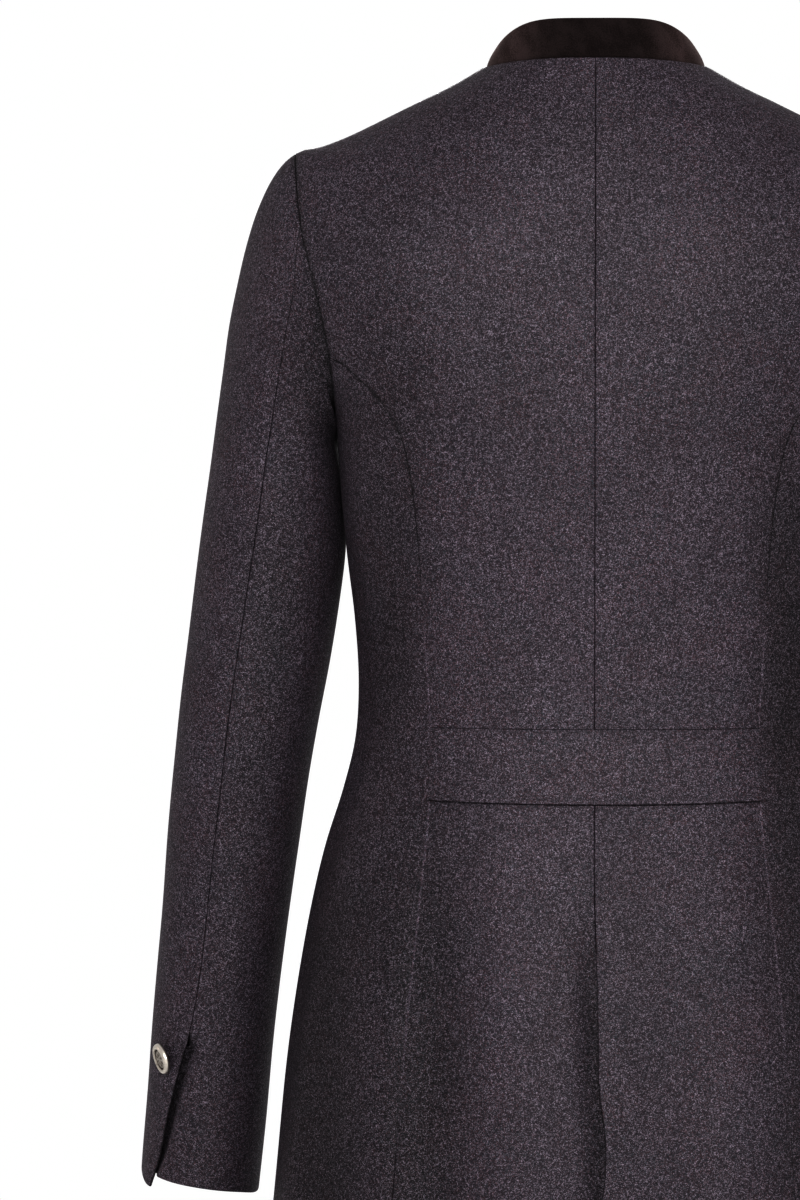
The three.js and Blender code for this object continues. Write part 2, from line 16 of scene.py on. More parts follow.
import bpy
import numpy as np
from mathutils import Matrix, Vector


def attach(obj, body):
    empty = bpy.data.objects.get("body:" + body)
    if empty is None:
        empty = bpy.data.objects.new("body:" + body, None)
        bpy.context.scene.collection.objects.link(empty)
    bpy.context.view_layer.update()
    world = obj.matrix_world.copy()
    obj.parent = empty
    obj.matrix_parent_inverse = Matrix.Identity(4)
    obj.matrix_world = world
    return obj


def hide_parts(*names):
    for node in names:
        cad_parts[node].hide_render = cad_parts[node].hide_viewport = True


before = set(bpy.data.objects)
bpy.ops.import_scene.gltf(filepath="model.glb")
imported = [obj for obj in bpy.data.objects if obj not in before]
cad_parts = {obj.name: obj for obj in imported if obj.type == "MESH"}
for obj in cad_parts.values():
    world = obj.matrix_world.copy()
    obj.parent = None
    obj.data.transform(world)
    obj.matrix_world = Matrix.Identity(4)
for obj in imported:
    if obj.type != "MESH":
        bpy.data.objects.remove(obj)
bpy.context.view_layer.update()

log = logging.getLogger("coat")

Array = np.ndarray
Pair = tuple[float, float]
Span = Pair  # where something starts, and where it is whole
Hump = Pair  # a bell's middle and its width
Triple = tuple[float, float, float]
Colour = Triple
Socket = bpy.types.NodeSocket

MM = 0.001  # metres in a millimetre
BODY = "root"

# Sizes and levels that several pieces share, in millimetres, as the frame has them.
WALL = 2.0
LAP_GAP = 0.5
HEM = 900.0
SHOULDER_TIP = 72.0
ARMPIT = 215.0
PRINCESS_TOP = 181.0
VENT_TOP = 604.0
VENT_UNDERLAP = 34.0
VENT_SOFTENING = 130.0  # how far above the vent its edges start to part
BELT_TOP = 403.5
BELT_DEPTH = 43.0

# Places down the sleeve, which are stations.
CUFF_SLIT = 18.05
SLEEVE_HEM = 20.0

# How far from a border the first columns and rows lie, which rounds it.
BORDER_STEPS = (0.0, 0.1, 0.3, 0.6, 1.0, 1.8)
LEAST_SQUARE = 0.35  # the least sine of the angle between a row and its border that is reckoned with
BORDER_ROOM = 2.6  # a row this many times its widest border steps has room for all of them
ROW_SAMPLES = 65  # the samples of a row that its columns are spaced by
LINE_SAMPLES = 1401  # the samples of a line that things are spaced by
FAR = 1000.0  # what puts a free border out of a seam's reach


class Side(Enum):
    """A side of the wearer, whose value is the sign of X there."""

    LEFT = 1
    RIGHT = -1

    @property
    def label(self) -> str:
        """The side's name as the pieces have it."""
        return self.name.lower()


class Held(Enum):
    """How a sheet of cloth is held in the finished coat."""

    HUNG = "hung"
    STRETCHED = "stretched"


# Small sums on whole arrays


def smooth(value: Array, low: Array | float, high: Array | float) -> Array:
    """A share p that goes gently from 0 at low to 1 at high, above or below it: p * p * (3 - 2 p)."""
    part = np.clip((np.asarray(value, float) - low) / (np.asarray(high, float) - low), 0.0, 1.0)
    return part * part * (3.0 - 2.0 * part)


def mix(start: Array | float, end: Array | float, share: Array | float) -> Array:
    """The value that lies this share of the way from start to end."""
    return start + (end - start) * share


def signed_power(value: Array, power: Array | float) -> Array:
    """A value to a power, with its sign kept."""
    return np.sign(value) * np.abs(value) ** power


def unit(vectors: Array) -> Array:
    """Vectors along the last axis, each divided by its length."""
    return vectors / np.maximum(np.linalg.norm(vectors, axis=-1, keepdims=True), 1e-9)


def bell(distance: Array, width: float) -> Array:
    """A bell curve, 1 at distance 0 and 0.37 at the width."""
    return np.exp(-((distance / width) ** 2))


def hump(value: Array, place: Hump) -> Array:
    """A bell curve round its middle, which is 0.37 at its width from there."""
    return bell(value - place[0], place[1])


def run_length(points: Array, axis: int) -> Array:
    """The distance run along a grid of points, from its first row or column.

    Args:
        points: A grid of points, rows by columns by three.
        axis: 0 to run down the columns, 1 to run along the rows.

    Returns:
        The sum of the straight steps up to each point, rows by columns.
    """
    steps = np.linalg.norm(np.diff(points, axis=axis), axis=-1)
    start = np.zeros_like(np.take(steps, [0], axis=axis))
    return np.concatenate([start, np.cumsum(steps, axis=axis)], axis=axis)


def twice(grid: Array) -> Array:
    """A grid's values or vectors for a shell's vertices: all, and then those inside the border."""
    size = grid.shape[2:]
    return np.concatenate([grid.reshape(-1, *size), grid[1:-1, 1:-1].reshape(-1, *size)])


@dataclass(frozen=True)
class SmoothTable:
    """A smooth function through the rows of a short table, with its columns found by name.

    Between two rows it is the cubic whose slope at a row is the mean of the straight slopes
    before and after it. Outside the table it keeps the end row's values.
    """

    columns: tuple[str, ...]
    rows: tuple[tuple[float, ...], ...]

    def at(self, place: Array | float) -> dict[str, Array]:
        """Every column at some places.

        Args:
            place: Values of the first column.

        Returns:
            The other columns' values there, by name.
        """
        table = np.array(self.rows, float)
        places, values = table[:, 0], table[:, 1:]
        secants = np.diff(values, axis=0) / np.diff(places)[:, None]
        slopes = np.concatenate([secants[:1], (secants[1:] + secants[:-1]) / 2, secants[-1:]])
        found = np.clip(np.asarray(place, float), places[0], places[-1])
        low = np.clip(np.searchsorted(places, found, side="right") - 1, 0, len(places) - 2)
        step = (places[low + 1] - places[low])[..., None]
        part = (found - places[low])[..., None] / step
        rest = 1.0 - part
        curve = (
            (1.0 + 2.0 * part) * rest**2 * values[low]
            + part * rest**2 * step * slopes[low]
            + part**2 * (3.0 - 2.0 * part) * values[low + 1]
            - part**2 * rest * step * slopes[low + 1]
        )
        return {name: curve[..., i] for i, name in enumerate(self.columns[1:])}


BODY_RINGS = SmoothTable(
    ("level", "sideDrop", "frontDrop", "halfWidth", "backDepth", "frontDepth", "backRound", "frontRound"),
    (
        (0, 3.5, 72, 69, 60, 62, 2.0, 2.0),
        (12, 15.4, 84, 90, 65.5, 68, 2.0, 2.0),
        (24, 25.9, 95, 112, 70.5, 75, 1.98, 2.0),
        (36, 36.3, 106, 133, 75.5, 81.5, 1.96, 2.0),
        (48, 45.3, 117, 152, 79.5, 87.5, 1.96, 2.0),
        (60, 51.7, 128, 169, 83, 93, 1.98, 2.02),
        (72, 55.3, 139, 184, 86, 98, 2.03, 2.06),
        (84, 68, 149, 192.5, 88.5, 102, 2.2, 2.15),
        (98, 86.5, 160, 196.5, 91, 106, 2.45, 2.3),
        (114, 107, 173, 196, 93.2, 110.5, 2.7, 2.45),
        (132, 128.5, 187, 192.5, 95, 115, 2.85, 2.55),
        (152, 150.5, 202, 186.5, 96, 119.5, 2.9, 2.6),
        (170, 169.5, 214, 179.5, 96, 122.5, 2.85, 2.6),
        (185, 185, 224, 173, 95.7, 124.5, 2.8, 2.6),
        (200, 200, 235, 166, 95.2, 126, 2.75, 2.58),
        (215, 215, 243, 160, 94.3, 127, 2.7, 2.55),
        (240, 240, 257, 157.5, 92, 127.5, 2.6, 2.5),
        (270, 270, 278, 155.5, 89, 125.5, 2.5, 2.45),
        (305, 305, 308, 152, 85.5, 119, 2.42, 2.4),
        (340, 340, 341, 147.8, 82, 110, 2.4, 2.38),
        (380, 380, 380, 145.5, 80, 102, 2.4, 2.36),
        (415, 415, 415, 147.5, 81.5, 101, 2.4, 2.35),
        (445, 445, 445, 154.5, 86.5, 104, 2.4, 2.35),
        (480, 480, 480, 165.5, 95.5, 108, 2.35, 2.3),
        (520, 520, 520, 175, 105, 112, 2.35, 2.3),
        (560, 560, 560, 182.5, 113, 115, 2.3, 2.25),
        (610, 610, 610, 189.5, 119.5, 118, 2.3, 2.2),
        (700, 700, 700, 198.5, 126, 124, 2.25, 2.2),
        (800, 800, 800, 208.5, 131, 130, 2.2, 2.2),
        (900, 900, 900, 218, 136, 136, 2.2, 2.2),
    ),
)

ARMHOLE = SmoothTable(
    ("level", "back", "front"),
    (
        (72, 184, 184),
        (77, 183.3, 181.5),
        (84, 182.4, 178),
        (98, 180.2, 173),
        (114, 177, 169),
        (132, 171.8, 165.8),
        (152, 166.6, 163),
        (170, 162.9, 161.4),
        (185, 160.8, 160.3),
        (200, 159.6, 159.6),
        (215, 160, 160),
    ),
)

PRINCESS = SmoothTable(
    ("level", "half"),
    (
        (181, 160.4),
        (185, 152.5),
        (194, 142.5),
        (204, 132.5),
        (215, 124.5),
        (229, 117.5),
        (245, 113.5),
        (268, 110),
        (300, 107),
        (356, 103.5),
        (417, 100),
        (450, 101),
        (507, 106.5),
        (565, 112.5),
        (625, 117),
        (686, 121.5),
        (900, 138),
    ),
)

# Soft folds that grow down the skirt: where each is in degrees from the centre back, how wide
# it is, how far it stands out at the hem, and the level where it starts.
SKIRT_FOLDS = (
    (38, 9, 4, 420),
    (21, 7, -3, 470),
    (-34, 10, 4, 430),
    (-17, 6, -2.5, 480),
    (72, 8, 5, 520),
    (100, 9, -4, 560),
    (134, 11, 5, 540),
    (-76, 9, 4.5, 530),
    (-107, 8, -4, 570),
    (-139, 12, 5, 550),
)

SLEEVE_SECTIONS = SmoothTable(
    ("station", "outerX", "outerDrop", "innerX", "innerDrop", "middle", "halfDepth", "armhole"),
    (
        (0, 184.5, 55, 160, 215.5, -9, 67, 1),
        (1, 192.5, 62, 161, 219, -10.5, 66, 0.88),
        (2, 200.5, 73.5, 161.2, 222.5, -12, 65, 0.74),
        (3, 208.5, 91, 161, 226, -14, 64, 0.58),
        (4, 215, 111.5, 160.6, 230, -16, 63, 0.44),
        (5, 220.5, 134, 160, 235, -19, 62, 0.31),
        (6, 226, 160, 159, 241, -22, 61, 0.2),
        (7, 230.3, 189, 157.8, 250, -25, 60, 0.11),
        (8, 234.6, 218, 156.6, 262, -28, 59, 0.05),
        (9, 239, 250, 155.4, 278, -30, 58, 0.02),
        (10, 243.5, 281, 155, 298, -31, 56.5, 0),
        (11, 248, 314, 158, 326, -32, 55, 0),
        (12, 253, 355, 164.4, 367, -33, 53, 0),
        (13, 257.9, 393, 171.8, 406, -35, 52, 0),
        (14, 262.2, 432, 178.8, 445, -38, 51, 0),
        (15, 266.3, 473, 185.2, 487, -42, 50, 0),
        (16, 270.4, 520, 191.9, 533, -47, 49, 0),
        (17, 274.7, 563, 197.6, 575, -52, 48, 0),
        (18, 278.4, 604, 202.4, 615, -57, 47.5, 0),
        (19, 281.6, 648, 206.7, 659, -61, 47, 0),
        (20, 285.6, 694, 212, 706, -65, 46.5, 0),
    ),
)

SLEEVE_SEAMS = SmoothTable(
    ("station", "back", "front"),
    (
        (0, 58, 128),
        (2, 80.5, 128),
        (4, 86.8, 127),
        (6, 87.4, 126),
        (9, 82.6, 124),
        (12, 78.8, 122),
        (15, 79.6, 122),
        (18, 72.3, 122),
        (18.05, 71.4, 122),
        (18.2, 69.2, 122),
        (18.45, 65.2, 122),
        (19, 56.4, 122),
        (19.66, 46.9, 122),
        (20, 36.5, 122),
    ),
)


# The forms that the cloth lies on


def superellipse(turn: Array, roundness: Array | float) -> tuple[Array, Array]:
    """The unit superellipse, met by a ray at each turn.

    Its cosine and sine are both divided by the root of the sum of their powers, so the point
    moves evenly past the axes, where the usual angle would stand still.

    Args:
        turn: The ray's direction in degrees.
        roundness: The power: 2 is a circle, more is squarer.

    Returns:
        The point along the turn's own axis, and the point square to it.
    """
    cosine, sine = np.cos(np.radians(turn)), np.sin(np.radians(turn))
    size = (np.abs(cosine) ** roundness + np.abs(sine) ** roundness) ** (1.0 / roundness)
    return cosine / size, sine / size


def retimed(turn: Array, power: Array | float) -> Array:
    """A direction whose tangent is raised to a power, in the same quarter as before.

    Args:
        turn: Directions in degrees.
        power: The power. Half the roundness makes a form's own angle of a turn, and its
            inverse makes a turn of an angle.

    Returns:
        The new directions in degrees.
    """
    cosine, sine = np.cos(np.radians(turn)), np.sin(np.radians(turn))
    raw = np.degrees(np.arctan2(signed_power(sine, power), signed_power(cosine, power)))
    return turn + (raw - turn + 180.0) % 360.0 - 180.0


class Form:
    """A smooth surface of places (turn, row), in millimetres, which the cloth lies on."""

    reach: Pair = (0.5, 1.0)  # the steps of turn and row that give a direction

    def point(self, turn: Array, row: Array) -> Array:
        """The surface's point at each place."""
        raise NotImplementedError

    def normal(self, turn: Array, row: Array) -> Array:
        """The outward direction: the step across the surface times the step down it.

        Args:
            turn: Where round the form.
            row: Where down the form.

        Returns:
            Unit vectors.
        """
        round_it, down_it = self.reach
        across = self.point(turn + round_it, row) - self.point(turn - round_it, row)
        down = self.point(turn, row + down_it) - self.point(turn, row - down_it)
        return unit(np.cross(across, down))


@dataclass(frozen=True)
class BodyForm(Form):
    """The coat's body as rings by level, a level being the distance below the collar seam.

    A ring is a superellipse with its own half width, depth and squareness for the back and the
    front, and it hangs higher at the shoulder along a ridge: the share of the side's drop is the
    sine's size to the power of the ridge.
    """

    ridge: float = 2.6

    def roundness(self, turn: Array, row: Array) -> Array:
        """How square the ring is on the half, back or front, where each place lies."""
        ring = BODY_RINGS.at(row)
        return np.where(np.cos(np.radians(turn)) >= 0, ring["backRound"], ring["frontRound"])

    def point(self, turn: Array, row: Array) -> Array:
        """The body's outer surface.

        Args:
            turn: 0 is the centre back, 90 the left side, 180 the centre front.
            row: The level.

        Returns:
            The surface's points.
        """
        turn, row = np.broadcast_arrays(np.asarray(turn, float), np.asarray(row, float))
        ring = BODY_RINGS.at(row)
        behind = np.cos(np.radians(turn)) >= 0
        roundness = self.roundness(turn, row)
        along, aside = superellipse(turn, roundness)
        height = np.abs(aside) ** (roundness * self.ridge / 2.0)
        end_drop = np.where(behind, row, ring["frontDrop"])
        return np.stack(
            [
                ring["halfWidth"] * aside,
                np.where(behind, ring["backDepth"], ring["frontDepth"]) * along,
                -mix(end_drop, ring["sideDrop"], height),
            ],
            axis=-1,
        )

    def angle(self, turn: Array, row: Array) -> Array:
        """The ring's own angle, in degrees, at each turn."""
        return retimed(turn, self.roundness(turn, row) / 2.0)

    def turn_at(self, angle: Array | float, row: Array) -> Array:
        """The turn at which the ring has this angle of its own."""
        angle, row = np.broadcast_arrays(np.asarray(angle, float), np.asarray(row, float))
        return retimed(angle, 2.0 / self.roundness(angle, row))

    def turn_at_half(self, half: Array | float, row: Array, front: bool = False) -> Array:
        """The turn at which the ring is this half width.

        Args:
            half: The half width in millimetres.
            row: The level.
            front: True for the place on the front, False for the one on the back.

        Returns:
            Turns in degrees, from 0 to 90 on the back and from 180 to 90 on the front.
        """
        ring = BODY_RINGS.at(row)
        roundness = ring["frontRound"] if front else ring["backRound"]
        aside = np.clip(half / ring["halfWidth"], 0.0, 1.0)
        along = (1.0 - aside**roundness) ** (1.0 / roundness)
        turn = np.degrees(np.arctan2(aside, along))
        return 180.0 - turn if front else turn

    def folds(self, turn: Array, row: Array) -> Array:
        """How far the skirt's folds lift the cloth: each is a bell round the ring that grows down.

        Args:
            turn: Where round the body.
            row: The level.

        Returns:
            The lift in millimetres.
        """
        angle = self.angle(turn, row)
        lift = np.zeros_like(angle)
        for place, spread, height, top in SKIRT_FOLDS:
            near = bell((angle - place + 180.0) % 360.0 - 180.0, spread)
            lift += height * np.maximum(0.0, (row - top) / (HEM - top)) * near
        return lift

    def princess(self, row: Array) -> Array:
        """The turn of the back's princess seam."""
        return self.turn_at_half(PRINCESS.at(row)["half"], row)

    def armhole(self, row: Array, front: bool) -> Array:
        """The turn of the armhole's edge on the back or the front."""
        return self.turn_at_half(ARMHOLE.at(row)["front" if front else "back"], row, front)

    def back_edge(self, row: Array) -> Array:
        """Where a back piece ends: on the shoulder, then the armhole, then the princess seam."""
        low = np.where(row <= PRINCESS_TOP, self.armhole(row, False), self.princess(row))
        return np.where(row <= SHOULDER_TIP, 90.0, low)

    def side_edge(self, row: Array, front: bool) -> Array:
        """Where a piece meets the side: on the shoulder, then the armhole, then the side seam."""
        outside = (row <= SHOULDER_TIP) | (row >= ARMPIT)
        return np.where(outside, 90.0, self.armhole(row, front))


@dataclass(frozen=True)
class CollarForm(Form):
    """The stand collar between its seam (row 0) and its top edge (row 1).

    A point is mixed from the neck's edge, moved in a little, and a top ring that leans inwards,
    and rounded outwards half way up.
    """

    body: BodyForm
    tuck: Pair = (1.8, 1.0)  # how far the seam lies inside the neck, and below its edge
    belly: float = 1.1  # how far it is rounded outwards half way up
    half_width: float = 59.6  # of the top ring, as are the sizes that follow
    back_depth: float = 55.0
    front_depth: float = 54.0
    back_height: float = 24.0
    side_height: float = 10.0
    front_height: float = -44.0
    roundness: float = 2.5
    ridge: float = 4.0
    reach: Pair = (0.5, -0.05)  # down, as its rows run up

    def point(self, turn: Array, row: Array) -> Array:
        """The collar's outer surface.

        Args:
            turn: 0 is the centre back, 90 the left side, 180 the centre front.
            row: The share of the way up.

        Returns:
            The surface's points.
        """
        turn, row = np.broadcast_arrays(np.asarray(turn, float), np.asarray(row, float))
        cosine, sine = np.cos(np.radians(turn)), np.sin(np.radians(turn))
        front = cosine < 0
        power = 2.0 / self.roundness
        inwards = np.stack([-sine, -cosine, np.zeros_like(sine)], axis=-1)
        seam = self.body.point(self.body.turn_at(turn, np.zeros_like(turn)), np.zeros_like(turn))
        seam = seam + self.tuck[0] * inwards
        seam[..., 2] -= self.tuck[1]
        end_height = np.where(front, self.front_height, self.back_height)
        top = np.stack(
            [
                self.half_width * signed_power(sine, power),
                np.where(front, self.front_depth, self.back_depth) * signed_power(cosine, power),
                mix(end_height, self.side_height, np.abs(sine) ** self.ridge),
            ],
            axis=-1,
        )
        belly = self.belly * np.sin(math.pi * row)
        return mix(seam, top, row[..., None]) - belly[..., None] * inwards


@dataclass(frozen=True)
class SleeveForm(Form):
    """The left sleeve as sections by station, which fan out from the armhole and run down the arm.

    A section is a superellipse between its outer and its inner point. Near the armhole each
    point is drawn towards the armhole's own edge by the section's share of it.
    """

    body: BodyForm
    roundness: float = 2.2
    path_steps: int = 240  # the steps along the armhole by which its length is measured
    reach: Pair = (-1.0, 0.05)  # backwards, because its turns run the other way

    def armhole_places(self, angle: Array) -> tuple[Array, Array]:
        """The place on the body's edge that each of the sleeve's angles meets.

        The angle's share of a half turn is the share of the armhole's length, from the shoulder
        tip to the armpit, on the back for a positive angle and on the front for a negative one.

        Args:
            angle: Degrees from the outer point, from -180 to 180.

        Returns:
            Turns and levels of the body.
        """
        swing = np.linspace(0.0, math.pi, self.path_steps + 1)
        level = mix(SHOULDER_TIP, ARMPIT, (1.0 - np.cos(swing)) / 2.0)
        share = np.abs(angle) / 180.0
        halves = []
        for front in (False, True):
            turn = self.body.armhole(level, front)
            length = run_length(self.body.point(turn, level)[None], 1)[0]
            reach = share * length[-1]
            halves.append((np.interp(reach, length, turn), np.interp(reach, length, level)))
        behind = angle >= 0
        return tuple(np.where(behind, back, ahead) for back, ahead in zip(*halves))

    def own_angle(self, turn: Array) -> Array:
        """The section's own angle at each turn, from -180 to 180 degrees."""
        return (self.angle(turn) + 180.0) % 360.0 - 180.0

    def armhole_normals(self, turn: Array) -> Array:
        """The body's outward direction where each of the sleeve's turns meets the armhole."""
        return self.body.normal(*self.armhole_places(self.own_angle(turn)))

    def section(self, station: Array) -> dict[str, Array]:
        """Each section's sizes and axes.

        Args:
            station: Where down the sleeve.

        Returns:
            The table's columns, and the half width, the middle, and the outward and the
            downward direction.
        """
        row = SLEEVE_SECTIONS.at(station)
        outer = np.stack([row["outerX"], row["middle"], -row["outerDrop"]], axis=-1)
        inner = np.stack([row["innerX"], row["middle"], -row["innerDrop"]], axis=-1)
        outwards = unit(outer - inner)
        down = np.stack([outwards[..., 2], 0.0 * outwards[..., 1], -outwards[..., 0]], axis=-1)
        half, middle = np.linalg.norm(outer - inner, axis=-1) / 2.0, (outer + inner) / 2.0
        return row | {"half": half, "middle_point": middle, "out": outwards, "down": down}

    def outline(self, section: dict[str, Array], turn: Array) -> Array:
        """Points of each section's plain rounded outline.

        Args:
            section: The sections' sizes and axes.
            turn: 0 is outermost, and a positive turn is behind.

        Returns:
            The points.
        """
        along, aside = superellipse(turn, self.roundness)
        point = section["middle_point"] + (section["half"] * along)[..., None] * section["out"]
        point[..., 1] += section["halfDepth"] * aside
        return point

    def angle(self, turn: Array) -> Array:
        """The section's own angle, in degrees from its outer point, at each turn."""
        return retimed(turn, self.roundness / 2.0)

    def turn_at(self, angle: Array) -> Array:
        """The turn at which a section has this angle of its own."""
        return retimed(angle, 2.0 / self.roundness)

    def point(self, turn: Array, row: Array) -> Array:
        """The left sleeve's outer surface.

        Args:
            turn: 0 is outermost, and a positive turn is behind.
            row: The station.

        Returns:
            The surface's points.
        """
        turn, row = np.broadcast_arrays(np.asarray(turn, float), np.asarray(row, float))
        section = self.section(row)
        first = self.section(np.zeros_like(row))
        point = self.outline(section, turn)
        edge = self.body.point(*self.armhole_places(self.own_angle(turn)))
        miss = edge - self.outline(first, turn)
        share = section["armhole"][..., None]
        along = np.sum(miss * first["out"], axis=-1, keepdims=True)
        down = np.sum(miss * first["down"], axis=-1, keepdims=True)
        point += share * (along * section["out"] + down * section["down"])
        point[..., 1] += share[..., 0] * miss[..., 1]
        return point


# Cloth laid on a form


@dataclass(frozen=True)
class Crease:
    """A soft trough or ridge pressed into the cloth, seen from behind or from in front.

    Its depth is a bell across the line from start to end, and it fades towards both ends.
    """

    start: Pair  # X and Z in millimetres
    end: Pair
    width: float
    height: float  # a trough is negative
    behind: bool = True
    ends: Span = (0.12, 0.88)  # which stretch of half a sine wave its depth follows
    side: Span = (2.0, 28.0)  # how far behind the sides it sets in and is whole

    def lift(self, points: Array) -> Array:
        """How far the crease lifts each point of the cloth.

        Args:
            points: The cloth's points.

        Returns:
            The lift in millimetres.
        """
        start, end = np.array(self.start), np.array(self.end)
        line = end - start
        length = np.linalg.norm(line)
        flat = points[..., [0, 2]] - start
        share = flat @ line / length**2
        aside = (flat[..., 0] * line[1] - flat[..., 1] * line[0]) / length
        inside = np.clip(share, 0.0, 1.0)
        beyond = length * (share - inside)
        faded = np.sin(math.pi * mix(*self.ends, inside)) ** 2
        facing = smooth(points[..., 1] if self.behind else -points[..., 1], *self.side)
        return self.height * faded * bell(aside, self.width) * bell(beyond, self.width) * facing


def crumple(points: Array, height: float = 0.45) -> Array:
    """The slight unevenness of hanging cloth.

    It is a sum of sine waves in fixed random directions, 45 to 160 mm long, each longer one
    higher than the last.

    Args:
        points: The cloth's points.
        height: About how far it lifts the cloth.

    Returns:
        The lift in millimetres.
    """
    chance = np.random.default_rng(5)
    lengths = np.geomspace(45.0, 160.0, 9)
    directions = unit(chance.normal(size=(len(lengths), 3)) * np.array([1.0, 0.7, 0.8]))
    starts = chance.uniform(0.0, 2.0 * math.pi, len(lengths))
    waves = np.sin(points @ (2.0 * math.pi * directions / lengths[:, None]).T + starts)
    return height * waves @ (lengths / lengths.sum())


# The creases of the body, seen from behind and from in front: the hollows of the waist, the
# bends of the skirt beside the princess seams, and softer ones on the sides that hide.
BODY_CREASES = (
    Crease((124, -210), (136, -520), 25, -5.4),
    Crease((44, -455), (48, -930), 24, 2.4),
    Crease((100, -350), (104, -940), 27, -5.0),
    Crease((130, -560), (134, -930), 12, 0.9),
    Crease((98, -440), (100, -700), 18, -1.7),
    Crease((166, -420), (177, -940), 26, -5.6),
    Crease((-120, -170), (-128, -560), 26, -6.6),
    Crease((-82, -470), (-88, -930), 20, 1.8),
    Crease((-126, -420), (-140, -940), 25, -4.8),
    Crease((54, -110), (44, -240), 38, -1.2),
    Crease((70, -330), (20, -352), 12, -0.8),
    Crease((-66, -318), (-24, -345), 12, -0.7),
    Crease((104, -215), (70, -250), 14, -1.0),
    Crease((-104, -205), (-74, -245), 14, -1.0),
    Crease((112, -300), (132, -520), 22, -3.6, False),
    Crease((-114, -300), (-130, -520), 22, -3.8, False),
    Crease((84, -500), (92, -940), 24, -3.0, False),
    Crease((-80, -500), (-94, -940), 24, -3.2, False),
    Crease((150, -520), (162, -940), 20, 2.0, False),
    Crease((-150, -520), (-160, -940), 20, 2.0, False),
    Crease((96, -190), (60, -260), 13, -1.3, False),
    Crease((-98, -190), (-58, -255), 13, -1.2, False),
    Crease((60, -350), (22, -372), 11, -1.0, False),
    Crease((-60, -345), (-24, -368), 11, -0.9, False),
)

# The creases of a sleeve: round the elbow, down from the armhole, and along the forearm.
SLEEVE_CREASES = (
    Crease((186, -270), (228, -640), 17, -3.0),
    Crease((176, -318), (214, -296), 11, -1.1),
    Crease((180, -352), (224, -336), 12, -1.2),
    Crease((186, -388), (222, -384), 10, -0.7),
    Crease((196, -206), (176, -290), 13, -1.1),
    Crease((232, -480), (222, -600), 13, -0.8),
    Crease((186, -270), (224, -640), 16, -1.8, False),
    Crease((178, -330), (222, -312), 12, -1.3, False),
    Crease((184, -366), (226, -352), 12, -1.2, False),
    Crease((196, -180), (182, -280), 13, -1.2, False),
    Crease((226, -470), (218, -590), 13, -0.9, False),
)


def all_creases(creases: Sequence[Crease], points: Array) -> Array:
    """How far several creases together lift each point of the cloth."""
    return sum((crease.lift(points) for crease in creases), np.zeros(points.shape[:-1]))


def crease_painted_shade(creases: Sequence[Crease], points: Array) -> Array:
    """Painted shade and highlight from creases: 1 on flat cloth, darker in a hollow and a little lighter on
    a ridge.
    """
    return np.clip(1.0 + 0.055 * all_creases(creases, points), 0.62, 1.06)


def seam_pull(distance: Array, depth: float = 0.35, width: float = 3.2) -> Array:
    """How far a seam draws the cloth in, as a bell over the distance to it."""
    return depth * bell(distance, width)


def beside(distance: Array, whole: float, gone: float) -> Array:
    """A share that is 1 up to the first distance and gently goes to 0 at the second."""
    return 1.0 - smooth(distance, whole, gone)


def between(place: Array, rise: Span, fall: Span) -> Array:
    """A share that goes gently from 0 to 1 over one stretch and back to 0 over another."""
    return smooth(place, *rise) * beside(place, *fall)


def rows_between(low: float, high: float, step: float, extra: Sequence[float] = ()) -> Array:
    """Places from low to high, evenly spaced but closer at both ends and at the extra ones.

    An even place less than 0.45 steps from a kept one is left out.

    Args:
        low: The first place.
        high: The last place.
        step: About how far apart they are.
        extra: More places, which are kept as they are.

    Returns:
        The places in order.
    """
    count = max(2, round((high - low) / step))
    near = np.array(BORDER_STEPS)
    even = np.linspace(low, high, count + 1)[1:-1]
    kept = np.array([*(low + near), *(high - near), *extra])
    kept = kept[(kept >= low) & (kept <= high)]
    clear = np.abs(even[:, None] - kept).min(axis=1) > 0.45 * step
    return np.unique(np.round(np.concatenate([kept, even[clear]]), 3))


def towards(place: float, reach: float, count: int, below: bool = True) -> list[float]:
    """Places that crowd towards one place: their distance grows with the square of their number."""
    sign = 1.0 if below else -1.0
    return [place + sign * reach * (i / count) ** 2 for i in range(1, count + 1)]


def on_side(breaks: Sequence[Array], side: Side) -> Sequence[Array]:
    """The turns at which a left piece's rows break, or for a right one their mirror image."""
    return breaks if side is Side.LEFT else [-turn for turn in reversed(breaks)]


@dataclass
class LaidCloth:
    """A grid of places where one piece of cloth lies on its form, with what it measures."""

    turn: Array
    row: Array
    points: Array
    normals: Array
    border: dict[str, Array]  # distance from each border: first, last, top, bottom

    @property
    def area(self) -> float:
        """The cloth's area in square metres, from each quadrilateral's two diagonals.

        Returns:
            Half the sum of the lengths of the diagonals' cross products.
        """
        at = self.points
        cross = np.cross(at[1:, 1:] - at[:-1, :-1], at[1:, :-1] - at[:-1, 1:])
        return float(np.linalg.norm(cross, axis=-1).sum() / 2.0) * MM * MM


def squareness(form: Form, rows: Array, border: Array, inside: Array) -> Array:
    """How square the rows meet a border: the sine of the angle between the two.

    Args:
        form: What the cloth lies on.
        rows: The rows' places down the form.
        border: The border's turn at each row.
        inside: A turn of each row on the cloth's side of the border.

    Returns:
        The sines in a column, none under the least that is reckoned with.
    """
    edge = form.point(border, rows)
    across = unit(form.point(mix(border, inside, 0.02), rows) - edge)
    along = unit(np.gradient(edge, rows, axis=0))
    square = np.sqrt(np.clip(1.0 - np.sum(across * along, axis=-1) ** 2, 0.0, 1.0))
    return np.maximum(LEAST_SQUARE, square)[:, None]


